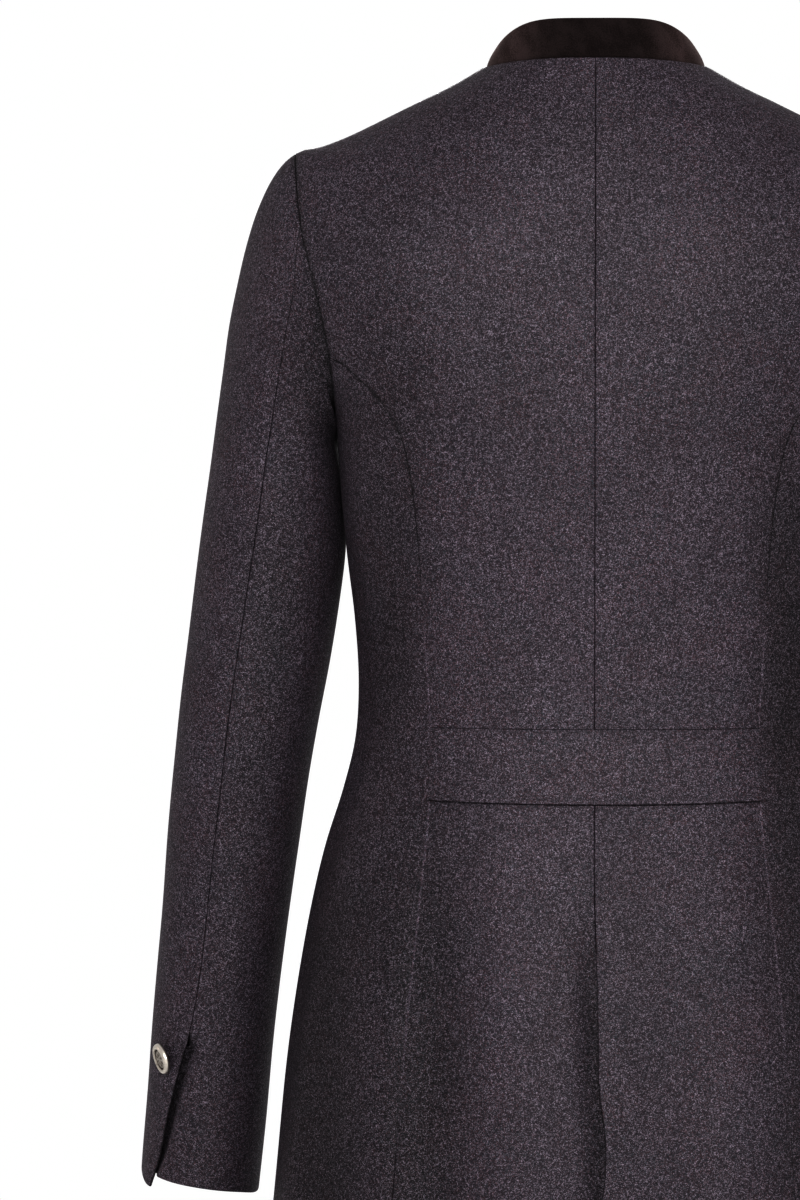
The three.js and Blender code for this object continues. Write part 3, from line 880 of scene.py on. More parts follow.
def lay(form: Form, rows: Array, breaks: Sequence[Array], columns: Sequence[int]) -> LaidCloth:
    """Lays a piece of cloth on a form between the breaks of each row.

    The columns are evenly spaced by distance between one break and the next, and crowd towards
    the first and last break by the border's steps, taken square to the seam.

    Args:
        form: What the cloth lies on.
        rows: The rows' places down the form.
        breaks: The turns that each row passes, one array for each break.
        columns: How many columns there are between one break and the next.

    Returns:
        The cloth as laid.
    """
    near = np.array(BORDER_STEPS)
    first_square = squareness(form, rows, breaks[0], breaks[1])
    last_square = squareness(form, rows, breaks[-1], breaks[-2])
    last = len(columns) - 1
    parts = []
    for i, count in enumerate(columns):
        turns = mix(breaks[i][:, None], breaks[i + 1][:, None], np.linspace(0.0, 1.0, ROW_SAMPLES))
        length = run_length(form.point(turns, rows[:, None]), 1)
        whole = length[:, -1:]
        room = np.minimum(1.0, whole / (BORDER_ROOM * near[-1] / LEAST_SQUARE))
        opening = near / first_square * room if i == 0 else 0.0 * whole
        closing = whole - (near[::-1] / last_square * room if i == last else 0.0 * whole)
        even = mix(opening[:, -1:], closing[:, :1], np.linspace(0.0, 1.0, count + 1))
        if i < last:
            even = even[:, :-1]
        wanted = np.concatenate([opening[:, :-1], even, closing[:, 1:]], axis=1)
        parts.append(np.stack([np.interp(*one) for one in zip(wanted, length, turns)]))
    turn = np.concatenate(parts, axis=1)
    row = np.broadcast_to(rows[:, None], turn.shape)
    points = form.point(turn, row)
    across, down = run_length(points, 1), run_length(points, 0)
    border = {
        "first": across * first_square,
        "last": (across[:, -1:] - across) * last_square,
        "top": down,
        "bottom": down[-1:] - down,
    }
    return LaidCloth(turn, row, points, form.normal(turn, row), border)


def shell_faces(rows: int, columns: int) -> Array:
    """The faces of a closed shell of two grids that share their border's vertices.

    The outer grid comes first; of the inner grid only the vertices inside the border follow.

    Args:
        rows: Rows of either grid.
        columns: Columns of either grid.

    Returns:
        The faces as four vertex numbers each.
    """
    outer = np.arange(rows * columns).reshape(rows, columns)
    inner = outer.copy()
    inside = (rows - 2, columns - 2)
    inner[1:-1, 1:-1] = rows * columns + np.arange(math.prod(inside)).reshape(inside)
    faces = []
    for grid, order in ((outer, (0, 1, 2, 3)), (inner, (3, 2, 1, 0))):
        corners = np.stack([grid[:-1, :-1], grid[:-1, 1:], grid[1:, 1:], grid[1:, :-1]], axis=-1)
        faces.append(corners[..., order].reshape(-1, 4))
    return np.concatenate(faces)


def ring_triangles(rings: int, sides: int) -> Array:
    """The triangles of rings of vertices that are closed by a vertex before and one after them.

    Args:
        rings: How many rings there are.
        sides: How many vertices each has; the two that close the form come after all rings.

    Returns:
        The triangles as three vertex numbers each.
    """
    here = np.arange(rings * sides).reshape(rings, sides)
    there = np.roll(here, -1, axis=1)
    first, last = np.full(sides, here.size), np.full(sides, here.size + 1)
    triangles = [
        np.stack([here[:-1], there[:-1], there[1:]], axis=-1),
        np.stack([here[:-1], there[1:], here[1:]], axis=-1),
        np.stack([first, there[0], here[0]], axis=-1),
        np.stack([last, here[-1], there[-1]], axis=-1),
    ]
    return np.concatenate([part.reshape(-1, 3) for part in triangles])


def volume_of(points: Array, faces: Array) -> float:
    """Six times the signed volume inside some faces of four corners."""
    a, b, c, d = (points[faces[:, i]] for i in range(4))
    return float((a * np.cross(b, c)).sum() + (a * np.cross(c, d)).sum())


def new_piece(
    name: str, points: Array, faces: Array, material: bpy.types.Material, uv: Array | None = None
) -> bpy.types.Object:
    """Writes a smooth mesh in metres and puts it in the scene, riding on the body.

    Args:
        name: The piece's name.
        points: Its vertices in millimetres.
        faces: Its faces, each with the same number of corners.
        material: What it is made of.
        uv: Each vertex's place on the flat cloth, in metres.

    Returns:
        The new object.
    """
    mesh = bpy.data.meshes.new(name)
    corners = faces.shape[1]
    mesh.vertices.add(len(points))
    mesh.vertices.foreach_set("co", (points * MM).astype(np.float32).ravel())
    mesh.loops.add(faces.size)
    mesh.loops.foreach_set("vertex_index", faces.astype(np.int32).ravel())
    mesh.polygons.add(len(faces))
    mesh.polygons.foreach_set("loop_start", np.arange(0, faces.size, corners, dtype=np.int32))
    mesh.polygons.foreach_set("use_smooth", np.ones(len(faces), bool))
    mesh.update(calc_edges=True)
    if uv is not None:
        layer = mesh.uv_layers.new(name="cloth")
        layer.data.foreach_set("uv", uv[faces.ravel()].astype(np.float32).ravel())
    mesh.validate()
    mesh.materials.append(material)
    piece = bpy.data.objects.new(name, mesh)
    bpy.context.scene.collection.objects.link(piece)
    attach(piece, BODY)
    return piece


def set_attribute(piece: bpy.types.Object, name: str, values: Array) -> None:
    """Gives each vertex of a piece a number that its material may read."""
    attribute = piece.data.attributes.new(name, "FLOAT", "POINT")
    attribute.data.foreach_set("value", values.astype(np.float32).ravel())


def seam_fill(laid: LaidCloth, fills: dict[str, Array | float]) -> Array:
    """How far the seam at each place's nearest border is pressed flat.

    Args:
        laid: The cloth as laid.
        fills: The share of the groove that is filled, by border; more than 1 makes a ridge.

    Returns:
        The share at each place, and 0 by a free border.
    """
    names = list(laid.border)
    nearest = np.argmin(np.stack([laid.border[name] for name in names]), axis=0)
    shares = np.stack([np.broadcast_to(fills.get(name, 0.0), laid.turn.shape) for name in names])
    return np.take_along_axis(shares, nearest[None], axis=0)[0]


@dataclass
class Cloth:
    """One cut piece of cloth, laid on its form and given its thickness.

    The shell's middle lies half a wall inside the form. Half its thickness is the wall's half
    times the height of a quarter circle over the distance to the nearest border, so each
    border is round, and the two sides share it.
    """

    name: str
    laid: LaidCloth
    lift: Array
    material: bpy.types.Material
    node: str  # the CAD node that it replaces
    slot: str = "cloth"
    wall: float = WALL
    edge: float = 0.8  # how far from a border the cloth is rounded
    mirror: Side = Side.LEFT
    held: Held = Held.HUNG
    rests_on: tuple[str, ...] = ()
    carries: tuple[str, ...] = ()
    drop: Array | float = 0.0
    fill: Array | float = 0.0  # how far the nearest seam is pressed flat
    fill_light: float = 0.75  # how much further from its border a flat seam's cloth looks, so its painted seam shade is less
    nap: Array | float = 1.0  # painted shade and light: a brightness factor, less in hollows and other shaded places
    painted_ridge_highlight: float = 1.1  # painted highlight: how much lighter a seam that stands up is painted
    ridge_width: float = 1.1

    def build(self) -> bpy.types.Object:
        """Returns:
            The piece.
        """
        laid = self.laid
        nearest = np.minimum.reduce(list(laid.border.values()))
        quarter = np.sqrt(1.0 - (1.0 - np.clip(nearest / self.edge, 0.0, 1.0)) ** 2)
        half = (self.wall / 2.0 * quarter)[..., None]
        pressed = self.fill * self.wall / 2.0 * (1.0 - quarter)
        middle = laid.points + (self.lift + pressed - self.wall / 2.0)[..., None] * laid.normals
        middle[..., 2] -= self.drop
        outer, inner = middle + half * laid.normals, middle - half * laid.normals
        points = np.concatenate([outer.reshape(-1, 3), inner[1:-1, 1:-1].reshape(-1, 3)])
        points[:, 0] *= self.mirror.value
        faces = shell_faces(*laid.turn.shape)
        if volume_of(points, faces) < 0:
            faces = faces[:, ::-1]
        flat = np.stack([run_length(laid.points, 1), run_length(laid.points, 0)], axis=-1)
        piece = new_piece(self.name, points, faces, self.material, twice(flat) * MM)
        # The border distance sets the material's painted seam shade, and a seam that stands up gets a
        # painted highlight.
        set_attribute(piece, "border", twice(nearest + self.fill_light * np.clip(self.fill, 0.0, 1.0)))
        ridge = np.clip(self.fill - 1.0, 0.0, 1.0) * (1.0 - np.clip(nearest / self.ridge_width, 0.0, 1.0))
        set_attribute(piece, "nap", twice(self.nap + self.painted_ridge_highlight * ridge))
        self._declare()
        log.info("%s: %d faces, %.4f square metres", self.name, len(faces), laid.area)
        return piece

    def _declare(self) -> None:
        """Hides the CAD part that the piece replaces.
        """
        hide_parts(self.node)


# Finishes


class NodeBench:
    """Lays out a material's nodes and links them."""

    def __init__(self, name: str) -> None:
        """Starts a material with one Principled shader.

        Args:
            name: The material's name.
        """
        self.material = bpy.data.materials.new(name)
        self.material.use_nodes = True
        self.tree = self.material.node_tree
        self.shader = self.tree.nodes["Principled BSDF"]

    def node(self, kind: str, **inputs: object) -> bpy.types.Node:
        """Adds a node.

        Args:
            kind: The node's type, without its prefix.
            **inputs: Its properties by their own names, or its inputs by name with spaces as
                underscores, or by number as i0, i1 and so on; a socket given for an input is
                linked to it.

        Returns:
            The node.
        """
        made = self.tree.nodes.new("ShaderNode" + kind)
        for key, value in inputs.items():
            if hasattr(made, key):
                setattr(made, key, value)
            else:
                self._feed(made.inputs[int(key[1:]) if key[1:].isdigit() else key.replace("_", " ")], value)
        return made

    def _feed(self, socket: Socket, value: object) -> None:
        """Links a socket to another one, or gives it a value; a colour gets its alpha.

        Args:
            socket: The input.
            value: A socket, a number, a colour or a vector.
        """
        if isinstance(value, Socket):
            self.tree.links.new(value, socket)
        elif socket.type == "RGBA":
            socket.default_value = (*value, 1.0)
        else:
            socket.default_value = value

    def dress(self, **inputs: object) -> bpy.types.Material:
        """Feeds the shader's own inputs.

        Args:
            **inputs: Values or sockets, by the inputs' names with spaces as underscores.

        Returns:
            The material.
        """
        for key, value in inputs.items():
            self._feed(self.shader.inputs[key.replace("_", " ")], value)
        return self.material

    def places(self) -> Socket:
        """Each point's place on the object, in metres."""
        return self.node("TexCoord").outputs["Object"]

    def attribute(self, name: str) -> Socket:
        """A number that the piece's vertices carry."""
        return self.node("Attribute", attribute_name=name).outputs["Fac"]

    def noise(self, place: Socket, scale: float, detail: float = 2.0) -> Socket:
        """Soft noise of about one blot in each 1/scale metres."""
        return self.node("TexNoise", Vector=place, Scale=scale, Detail=detail).outputs["Fac"]

    def tufts(self, place: Socket, scale: float) -> Sequence[Socket]:
        """Small cells about 1/scale metres wide, each with its own three random numbers."""
        cells = self.node("TexVoronoi", Vector=place, Scale=scale, feature="F1")
        return self.node("SeparateColor", Color=cells.outputs["Color"]).outputs

    def spread(
        self, value: Socket, low: float, high: float, start: float = 0.0, end: float = 1.0
    ) -> Socket:
        """A value's range low to high, stretched gently over start to end and cut off there."""
        ends = {"From_Min": low, "From_Max": high, "To_Min": start, "To_Max": end}
        return self.node("MapRange", interpolation_type="SMOOTHSTEP", Value=value, **ends).outputs["Result"]

    def plus(self, a: Socket | float, b: Socket | float) -> Socket:
        """Two values added."""
        return self.node("Math", operation="ADD", i0=a, i1=b).outputs[0]

    def times(self, a: Socket | float, b: Socket | float) -> Socket:
        """Two values multiplied."""
        return self.node("Math", operation="MULTIPLY", i0=a, i1=b).outputs[0]

    def blend(
        self, share: Socket | float, a: Socket | Colour, b: Socket | Colour, kind: str = "MIX"
    ) -> Socket:
        """Two colours mixed by a share."""
        return self.node("Mix", data_type="RGBA", blend_type=kind, i0=share, i6=a, i7=b).outputs[2]

    def shaded(self, colour: Socket, shade: Socket) -> Socket:
        """A colour made as bright as a number says."""
        grey = self.node("CombineColor", i0=shade, i1=shade, i2=shade).outputs[0]
        return self.blend(1.0, colour, grey, "MULTIPLY")

    def bump(self, height: Socket, distance: float, strength: float = 1.0) -> Socket:
        """A normal tilted by a height in shares of a distance in metres."""
        return self.node("Bump", Height=height, Distance=distance, Strength=strength).outputs[0]


@dataclass(frozen=True)
class MelangeWool:
    """A felted wool cloth spun from dark, light and a few coloured fibres."""

    name: str
    dark: Colour = (0.0190, 0.0152, 0.0205)
    middle: Colour = (0.0480, 0.0372, 0.0480)
    light: Colour = (0.2700, 0.2350, 0.2760)
    brown: Colour = (0.1100, 0.0560, 0.0640)
    slate: Colour = (0.0480, 0.0620, 0.0740)
    tuft: float = 2050.0  # tufts of fibre in a metre
    nap: float = 0.00003  # how deep the surface is, in metres, for the bump; this one paints no light
    seam_shade: float = 0.35  # painted shade along a seam: how dark the cloth is where the seam draws it in
    swing: Pair = (-1.42, 0.58)  # how far chance may dim or brighten a tuft
    contrast: Pair = (0.7, 0.12)  # how much of that shows where the painted shade is dark, and where it is light

    def build(self) -> bpy.types.Material:
        """Makes the material.

        The cloth is cut into small tufts of random brightness, a noise over them gathers
        light and dark ones, and some are brown or slate. Slow noises shift the whole a
        little, painted shade darkens the cloth over its last millimetre to a border and where
        the vertices carry it, a painted highlight lightens raised seams, and the tufts differ
        more where the painted shade is dark.

        Returns:
            The material.
        """
        bench = NodeBench(self.name)
        place = bench.places()
        tufts = bench.tufts(place, self.tuft)
        small = bench.noise(place, self.tuft * 1.3, 1.0)
        cloud = bench.noise(place, self.tuft * 0.28)
        chance = bench.plus(bench.times(tufts[0], 0.62), bench.spread(small, 0.3, 0.7, 0.0, 0.38))
        chance = bench.plus(chance, bench.spread(cloud, 0.3, 0.7, -0.1, 0.1))
        colour = bench.blend(bench.spread(chance, 0.1, 0.6), self.dark, self.middle)
        colour = bench.blend(bench.spread(chance, 0.5, 1.0), colour, self.light)
        for chosen, tone, least in ((tufts[1], self.brown, 0.72), (tufts[2], self.slate, 0.78)):
            gathered = bench.spread(bench.noise(place, 34.0 * least), 0.35, 0.65, 0.35, 0.85)
            colour = bench.blend(bench.times(bench.spread(chosen, least, 1.0), gathered), colour, tone)
        # Painted shade and light: the vertex attribute darkens the cloth where less light falls and
        # lightens raised seams, and the border darkens it along seams.
        nap = bench.attribute("nap")
        seam = bench.times(bench.spread(bench.attribute("border"), 0.0, 0.8, self.seam_shade), nap)
        shade = bench.times(bench.spread(bench.noise(place, 14.0, 3.0), 0.3, 0.7, 0.93, 1.06), seam)
        contrast = bench.spread(nap, 0.4, 1.0, *self.contrast)
        swing = bench.times(bench.spread(chance, 0.0, 1.0, *self.swing), contrast)
        return bench.dress(
            Base_Color=bench.shaded(colour, bench.times(shade, bench.plus(swing, 1.0))),
            Roughness=bench.spread(chance, 0.2, 0.9, 0.66, 0.58),
            Normal=bench.bump(chance, self.nap, 0.6),
            Specular_IOR_Level=0.3,
        )


@dataclass(frozen=True)
class Suede:
    """Dark brown suede with a short pile that lies a little unevenly."""

    name: str
    dark: Colour = (0.0105, 0.0064, 0.0061)
    light: Colour = (0.0314, 0.0222, 0.0222)
    sheen: Colour = (1.0, 0.82, 0.80)

    def build(self) -> bpy.types.Material:
        """Makes the material from slow streaks up the stand and a fine grain.

        Returns:
            The material.
        """
        bench = NodeBench(self.name)
        flat = bench.node("TexCoord").outputs["UV"]
        streaks = bench.node("Mapping", Vector=flat, Scale=(1.0, 0.7, 1.0)).outputs[0]
        grain = bench.noise(bench.places(), 1500.0)
        both = bench.plus(bench.times(bench.noise(streaks, 70.0, 5.0), 0.5), bench.times(grain, 0.5))
        colour = bench.blend(bench.spread(both, 0.37, 0.61), self.dark, self.light)
        return bench.dress(
            # Painted light from the vertex attribute: the collar is lighter on its sides.
            Base_Color=bench.shaded(colour, bench.attribute("nap")),
            Roughness=bench.spread(grain, 0.3, 0.7, 0.8, 0.98),
            Normal=bench.bump(grain, 0.00022, 0.8),
            Specular_IOR_Level=0.15,
            Sheen_Weight=0.15,
            Sheen_Tint=self.sheen,
            Sheen_Roughness=0.5,
        )


@dataclass(frozen=True)
class AntiqueSilver:
    """Worn silver-plated metal, dark where polish doesn't reach."""

    name: str
    bright: Colour = (0.62, 0.58, 0.53)
    dull: Colour = (0.10, 0.085, 0.072)

    def build(self) -> bpy.types.Material:
        """Makes the metal; the vertex attribute tarnish says how dark each place is.

        Returns:
            The material.
        """
        bench = NodeBench(self.name)
        cloud = bench.noise(bench.places(), 900.0, 4.0)
        dirt = bench.plus(bench.attribute("tarnish"), bench.spread(cloud, 0.35, 0.7, -0.08, 0.18))
        return bench.dress(
            Base_Color=bench.blend(bench.spread(dirt, 0.0, 1.0), self.bright, self.dull),
            Roughness=bench.spread(dirt, 0.0, 1.0, 0.3, 0.62),
            Normal=bench.bump(cloud, 0.00004, 0.5),
            Metallic=1.0,
        )


@dataclass(frozen=True)
class Thread:
    """Sewing thread of the cloth's own colour."""

    name: str
    dark: Colour = (0.03, 0.025, 0.031)
    light: Colour = (0.085, 0.072, 0.085)

    def build(self) -> bpy.types.Material:
        """Makes the thread with a fine twist in its colour.

        Returns:
            The material.
        """
        bench = NodeBench(self.name)
        twist = bench.noise(bench.places(), 1800.0)
        return bench.dress(
            Base_Color=bench.blend(bench.spread(twist, 0.35, 0.65), self.dark, self.light),
            Roughness=bench.spread(twist, 0.3, 0.7, 0.6, 0.85),
        )


# The coat's parts


@dataclass
class BodyPieces:
    """The backs, side backs and fronts, on the body's form."""

    body: BodyForm
    wool: bpy.types.Material
    creases: Sequence[Crease]
    row_step: float = 4.2
    back_columns: tuple[int, int] = (12, 44)  # next to the vent, and beyond that
    right_back_columns: int = 50
    side_back_columns: int = 32
    front_columns: int = 88
    lap: float = 22.0  # how far a front runs past the centre
    lap_edge: Span = (8.0, 2.0)  # how many degrees before the left front's edge the right one steps out
    vent_lift: float = 2.5  # how far the right back stands off the left one
    vent_lift_turns: Span = (-9.0, -1.0)
    vent_lift_rows: float = 80.0  # over what length below the vent's top that grows
    vent_seam: float = 2.5  # how far the centre seam swings to the right above the vent
    vent_edge: float = 4.5  # how much further the vent's edge does
    vent_reach: float = 50.0  # over what length
    vent_wave: Triple = (3.2, 690.0, 16.0)  # how far it swings back, where, how long
    tuck: float = 9.0  # how far the left back reaches under the right one above the vent
    tuck_rows: Span = (528.0, 575.0)
    fixed: float = 7.0  # the angle from which the left back's columns don't follow the vent
    pleat_depth: float = 3.4  # how far the left back sinks beside the vent's edge
    pleat_reach: tuple[Span, Span, Span] = ((3.0, 20.0), (0.0, 15.0), (3.0, 19.0))  # lap, pleat, painted shade
    seam_fade: float = 40.0  # over what length the right back's centre seam ends above the vent
    centre_fill: float = 0.32  # how flat each seam is pressed; more than 1 stands up
    armhole_fill: float = 0.1
    side_fill: float = 0.3
    princess_fill: Pair = (0.25, 1.6)  # in general, and where it stands up
    raised_rows: tuple[Span, Span] = ((300.0, 370.0), (560.0, 700.0))  # where it starts to, and stops
    # Painted shade: the cloth is darkened where less light falls, as the fields below set.
    armhole_shade: Pair = (0.58, 1.9)  # how much painted shade darkens it along the armhole, and how wide
    princess_shade: Pair = (0.32, 1.3)
    princess_rows: tuple[Span, Span] = ((PRINCESS_TOP - 2.0, PRINCESS_TOP), (250.0, 340.0))
    pleat_shade: float = 0.27
    skirt_shade: Pair = (0.1, 0.15)  # on the whole skirt, and more on its left side
    skirt_rows: Span = (440.0, 530.0)
    skirt_left: Span = (100.0, 124.0)
    waist_shade: float = 0.15  # on the right side of the waist
    waist_row: Hump = (360.0, 90.0)
    waist_right: Span = (86.0, 114.0)
    blade_shade: Triple = (0.06, 0.15, 0.09)  # all over, on the left, on the right
    blade_rows: tuple[Hump, Hump] = ((185.0, 92.0), (112.0, 45.0))  # all over and left, on the right
    blade_left: Hump = (124.0, 36.0)
    blade_right: Span = (50.0, 110.0)

    def _lift(self, laid: LaidCloth, sewn: Array) -> Array:
        """How far folds, creases, unevenness and the pull of the nearest seam lift a piece."""
        lift = self.body.folds(laid.turn, laid.row) + crumple(laid.points) - seam_pull(sewn)
        return lift + all_creases(self.creases, laid.points)

    def _painted_shade(self, laid: LaidCloth, armhole: str, free: float = ARMPIT, princess: str = "") -> Array:
        """The painted shade, which darkens the cloth where less light falls.

        It is darker in hollows, along the armhole and on the top of the princess seam, on the
        skirt, over the shoulder blades and on the right of the waist.

        Args:
            laid: The cloth as laid.
            armhole: The border that the armhole is part of.
            free: The level where the armhole leaves this piece.
            princess: The border that the princess seam is part of, if there is one.

        Returns:
            The painted shade at each place, as a share of full brightness.
        """
        row, left = laid.row, laid.points[..., 0]
        dark, width = self.armhole_shade
        along = between(row, (SHOULDER_TIP - 6.0, SHOULDER_TIP + 6.0), (free - 3.0, free))
        nap = crease_painted_shade(self.creases, laid.points)
        nap *= 1.0 - dark * along * bell(laid.border[armhole], width)
        if princess:
            dark, width = self.princess_shade
            high = between(row, *self.princess_rows)
            nap *= 1.0 - dark * high * bell(laid.border[princess], width)
        whole, on_left = self.skirt_shade
        aside = smooth(left, *self.skirt_left)
        nap *= 1.0 - smooth(row, *self.skirt_rows) * (whole + on_left * aside)
        whole, on_left, on_right = self.blade_shade
        low, high = self.blade_rows
        blades = (whole + on_left * hump(left, self.blade_left)) * hump(row, low)
        blades += on_right * smooth(-left, *self.blade_right) * hump(row, high)
        waist = self.waist_shade * hump(row, self.waist_row) * smooth(-left, *self.waist_right)
        return nap * (1.0 - waist - blades)

    def _side_fill(self, row: Array, princess: bool = False) -> Array:
        """How flat a piece's side seam, armhole seam or shoulder seam is pressed at each row.

        Args:
            row: The rows.
            princess: True for the princess seam, which stands up a little at the waist.

        Returns:
            The shares, one for each row.
        """
        free = PRINCESS_TOP if princess else ARMPIT
        raised = between(row, *self.raised_rows)
        low = mix(*self.princess_fill, raised) if princess else self.side_fill
        return np.where((row > SHOULDER_TIP) & (row < free), self.armhole_fill, low)

    def _rows(self, top: float, extra: Sequence[float] = ()) -> Array:
        """The rows of a piece that runs down to the hem, crowded where its borders turn.

        Args:
            top: The level where it starts.
            extra: More levels that its borders need.

        Returns:
            The levels.
        """
        turns = [*towards(SHOULDER_TIP, 24.0, 14), *towards(ARMPIT, 22.0, 12, below=False), ARMPIT]
        near = [place for place in (*turns, *extra) if place > top + BORDER_STEPS[-1]]
        return rows_between(top, HEM, self.row_step, near)

    def _sewn(self, laid: LaidCloth, centre: str, side: str) -> Array:
        """The distance to a back's nearest seam: its centre border is sewn only above the vent."""
        opened = FAR * smooth(laid.row, VENT_TOP, VENT_TOP + 4.0)
        return np.minimum(laid.border[side], laid.border[centre] + opened)

    def _piece(
        self, node: str, laid: LaidCloth, lift: Array, fills: dict[str, Array | float], nap: Array
    ) -> bpy.types.Object:
        """Builds one piece from its laid cloth, its lift, how flat its seams are, and its painted shade."""
        fill = seam_fill(laid, fills)
        return Cloth(f"{node}_cloth", laid, lift, self.wool, node, fill=fill, nap=nap).build()

    def centre_edge(self, row: Array) -> Array:
        """The right back's centre edge, which swings to the wearer's right at the vent.

        Args:
            row: The level.

        Returns:
            The edge's turns.
        """
        seam = self.vent_seam * smooth(row, VENT_TOP - VENT_SOFTENING, VENT_TOP)
        edge = self.vent_edge * smooth(row, VENT_TOP, VENT_TOP + self.vent_reach)
        swing, level, length = self.vent_wave
        return -self.body.turn_at_half(seam + edge - swing * bell(row - level, length), row)

    def back_left(self) -> bpy.types.Object:
        """The left back, whose centre drops behind the right one and runs on as the underlap.

        Returns:
            The piece.
        """
        vent = [VENT_TOP - 1.0, VENT_TOP, VENT_TOP + 1.0, VENT_TOP + 2.0]
        rows = self._rows(0.0, [*towards(PRINCESS_TOP, 16.0, 6), PRINCESS_TOP, *vent])
        centre = self.centre_edge(rows)
        tucked = centre - self.body.turn_at_half(self.tuck * smooth(rows, *self.tuck_rows), rows)
        underlap = -self.body.turn_at_half(VENT_UNDERLAP, rows)
        edge = mix(tucked, underlap, np.clip((rows - vent[0]) / (vent[-1] - vent[0]), 0.0, 1.0))
        breaks = [edge, self.body.turn_at(self.fixed, rows), self.body.back_edge(rows)]
        laid = lay(self.body, rows, breaks, self.back_columns)
        aside = laid.points[..., 0] - self.body.point(centre, rows)[:, :1]
        low = smooth(laid.row, VENT_TOP - VENT_SOFTENING, VENT_TOP - 5.0)
        sunk = smooth(laid.row, VENT_TOP - VENT_SOFTENING, VENT_TOP - 15.0)
        lap, pleat, shade = self.pleat_reach
        dip = (WALL + LAP_GAP) * low * beside(aside, *lap)
        dip += self.pleat_depth * sunk * beside(aside, *pleat)
        lift = self._lift(laid, self._sewn(laid, "first", "last")) - dip
        fills = {"first": self.centre_fill, "last": self._side_fill(laid.row, True)}
        nap = self._painted_shade(laid, "last", PRINCESS_TOP, "last")
        # Painted shade beside the vent's edge, under the right back.
        nap *= 1.0 - self.pleat_shade * sunk * beside(aside, *shade)
        return self._piece("back_left", laid, lift, fills, nap)

    def back_right(self) -> bpy.types.Object:
        """The right back, whose centre edge stands off the left one at the vent.

        Returns:
            The piece.
        """
        rows = self._rows(0.0, [*towards(PRINCESS_TOP, 16.0, 6), PRINCESS_TOP])
        breaks = [-self.body.back_edge(rows), self.centre_edge(rows)]
        laid = lay(self.body, rows, breaks, (self.right_back_columns,))
        full = VENT_TOP + self.vent_lift_rows
        rise = self.vent_lift * smooth(laid.row, VENT_TOP - VENT_SOFTENING, full)
        rise = rise * smooth(self.body.angle(laid.turn, laid.row), *self.vent_lift_turns)
        lift = self._lift(laid, self._sewn(laid, "last", "first")) + rise
        centre = self.centre_fill * beside(laid.row, VENT_TOP - self.seam_fade, VENT_TOP)
        fills = {"first": self._side_fill(laid.row, True), "last": centre}
        return self._piece("back_right", laid, lift, fills, self._painted_shade(laid, "first", PRINCESS_TOP, "first"))

    def side_back(self, side: Side) -> bpy.types.Object:
        """The piece between a princess seam and the side seam.

        Args:
            side: The wearer's side.

        Returns:
            The piece.
        """
        rows = self._rows(PRINCESS_TOP, towards(PRINCESS_TOP, 16.0, 8))
        breaks = on_side([self.body.princess(rows), self.body.side_edge(rows, False)], side)
        laid = lay(self.body, rows, breaks, (self.side_back_columns,))
        inner, outer = ("first", "last")[:: side.value]
        fills = {inner: self._side_fill(laid.row, True), outer: self._side_fill(laid.row)}
        fills["top"] = self.armhole_fill
        lift = self._lift(laid, np.minimum(laid.border["first"], laid.border["last"]))
        nap = self._painted_shade(laid, outer, ARMPIT, inner)
        return self._piece(f"side_back_{side.label}", laid, lift, fills, nap)

    def front(self, side: Side) -> bpy.types.Object:
        """A front, from the side seam to its free edge past the centre; the right one laps over.

        Args:
            side: The wearer's side.

        Returns:
            The piece.
        """
        rows = self._rows(0.0)
        lap = self.body.turn_at_half(self.lap, rows, front=True)
        breaks = on_side([self.body.side_edge(rows, True), 360.0 - lap], side)
        laid = lay(self.body, rows, breaks, (self.front_columns,))
        sewn = ("first", "last")[:: side.value][0]
        lift = self._lift(laid, laid.border[sewn])
        if side is Side.RIGHT:
            angle = -self.body.angle(laid.turn, laid.row)
            under = self.body.angle(lap, rows)[:, None]
            far, near = self.lap_edge
            lift += (WALL + LAP_GAP) * smooth(angle, under - far, under - near)
        fills = {sewn: self._side_fill(laid.row)}
        return self._piece(f"front_{side.label}", laid, lift, fills, self._painted_shade(laid, sewn))

    def build(self) -> list[bpy.types.Object]:
        """Makes every piece of the body.

        Returns:
            The pieces.
        """
        pieces = [self.back_left(), self.back_right()]
        for side in Side:
            pieces += [self.side_back(side), self.front(side)]
        return pieces


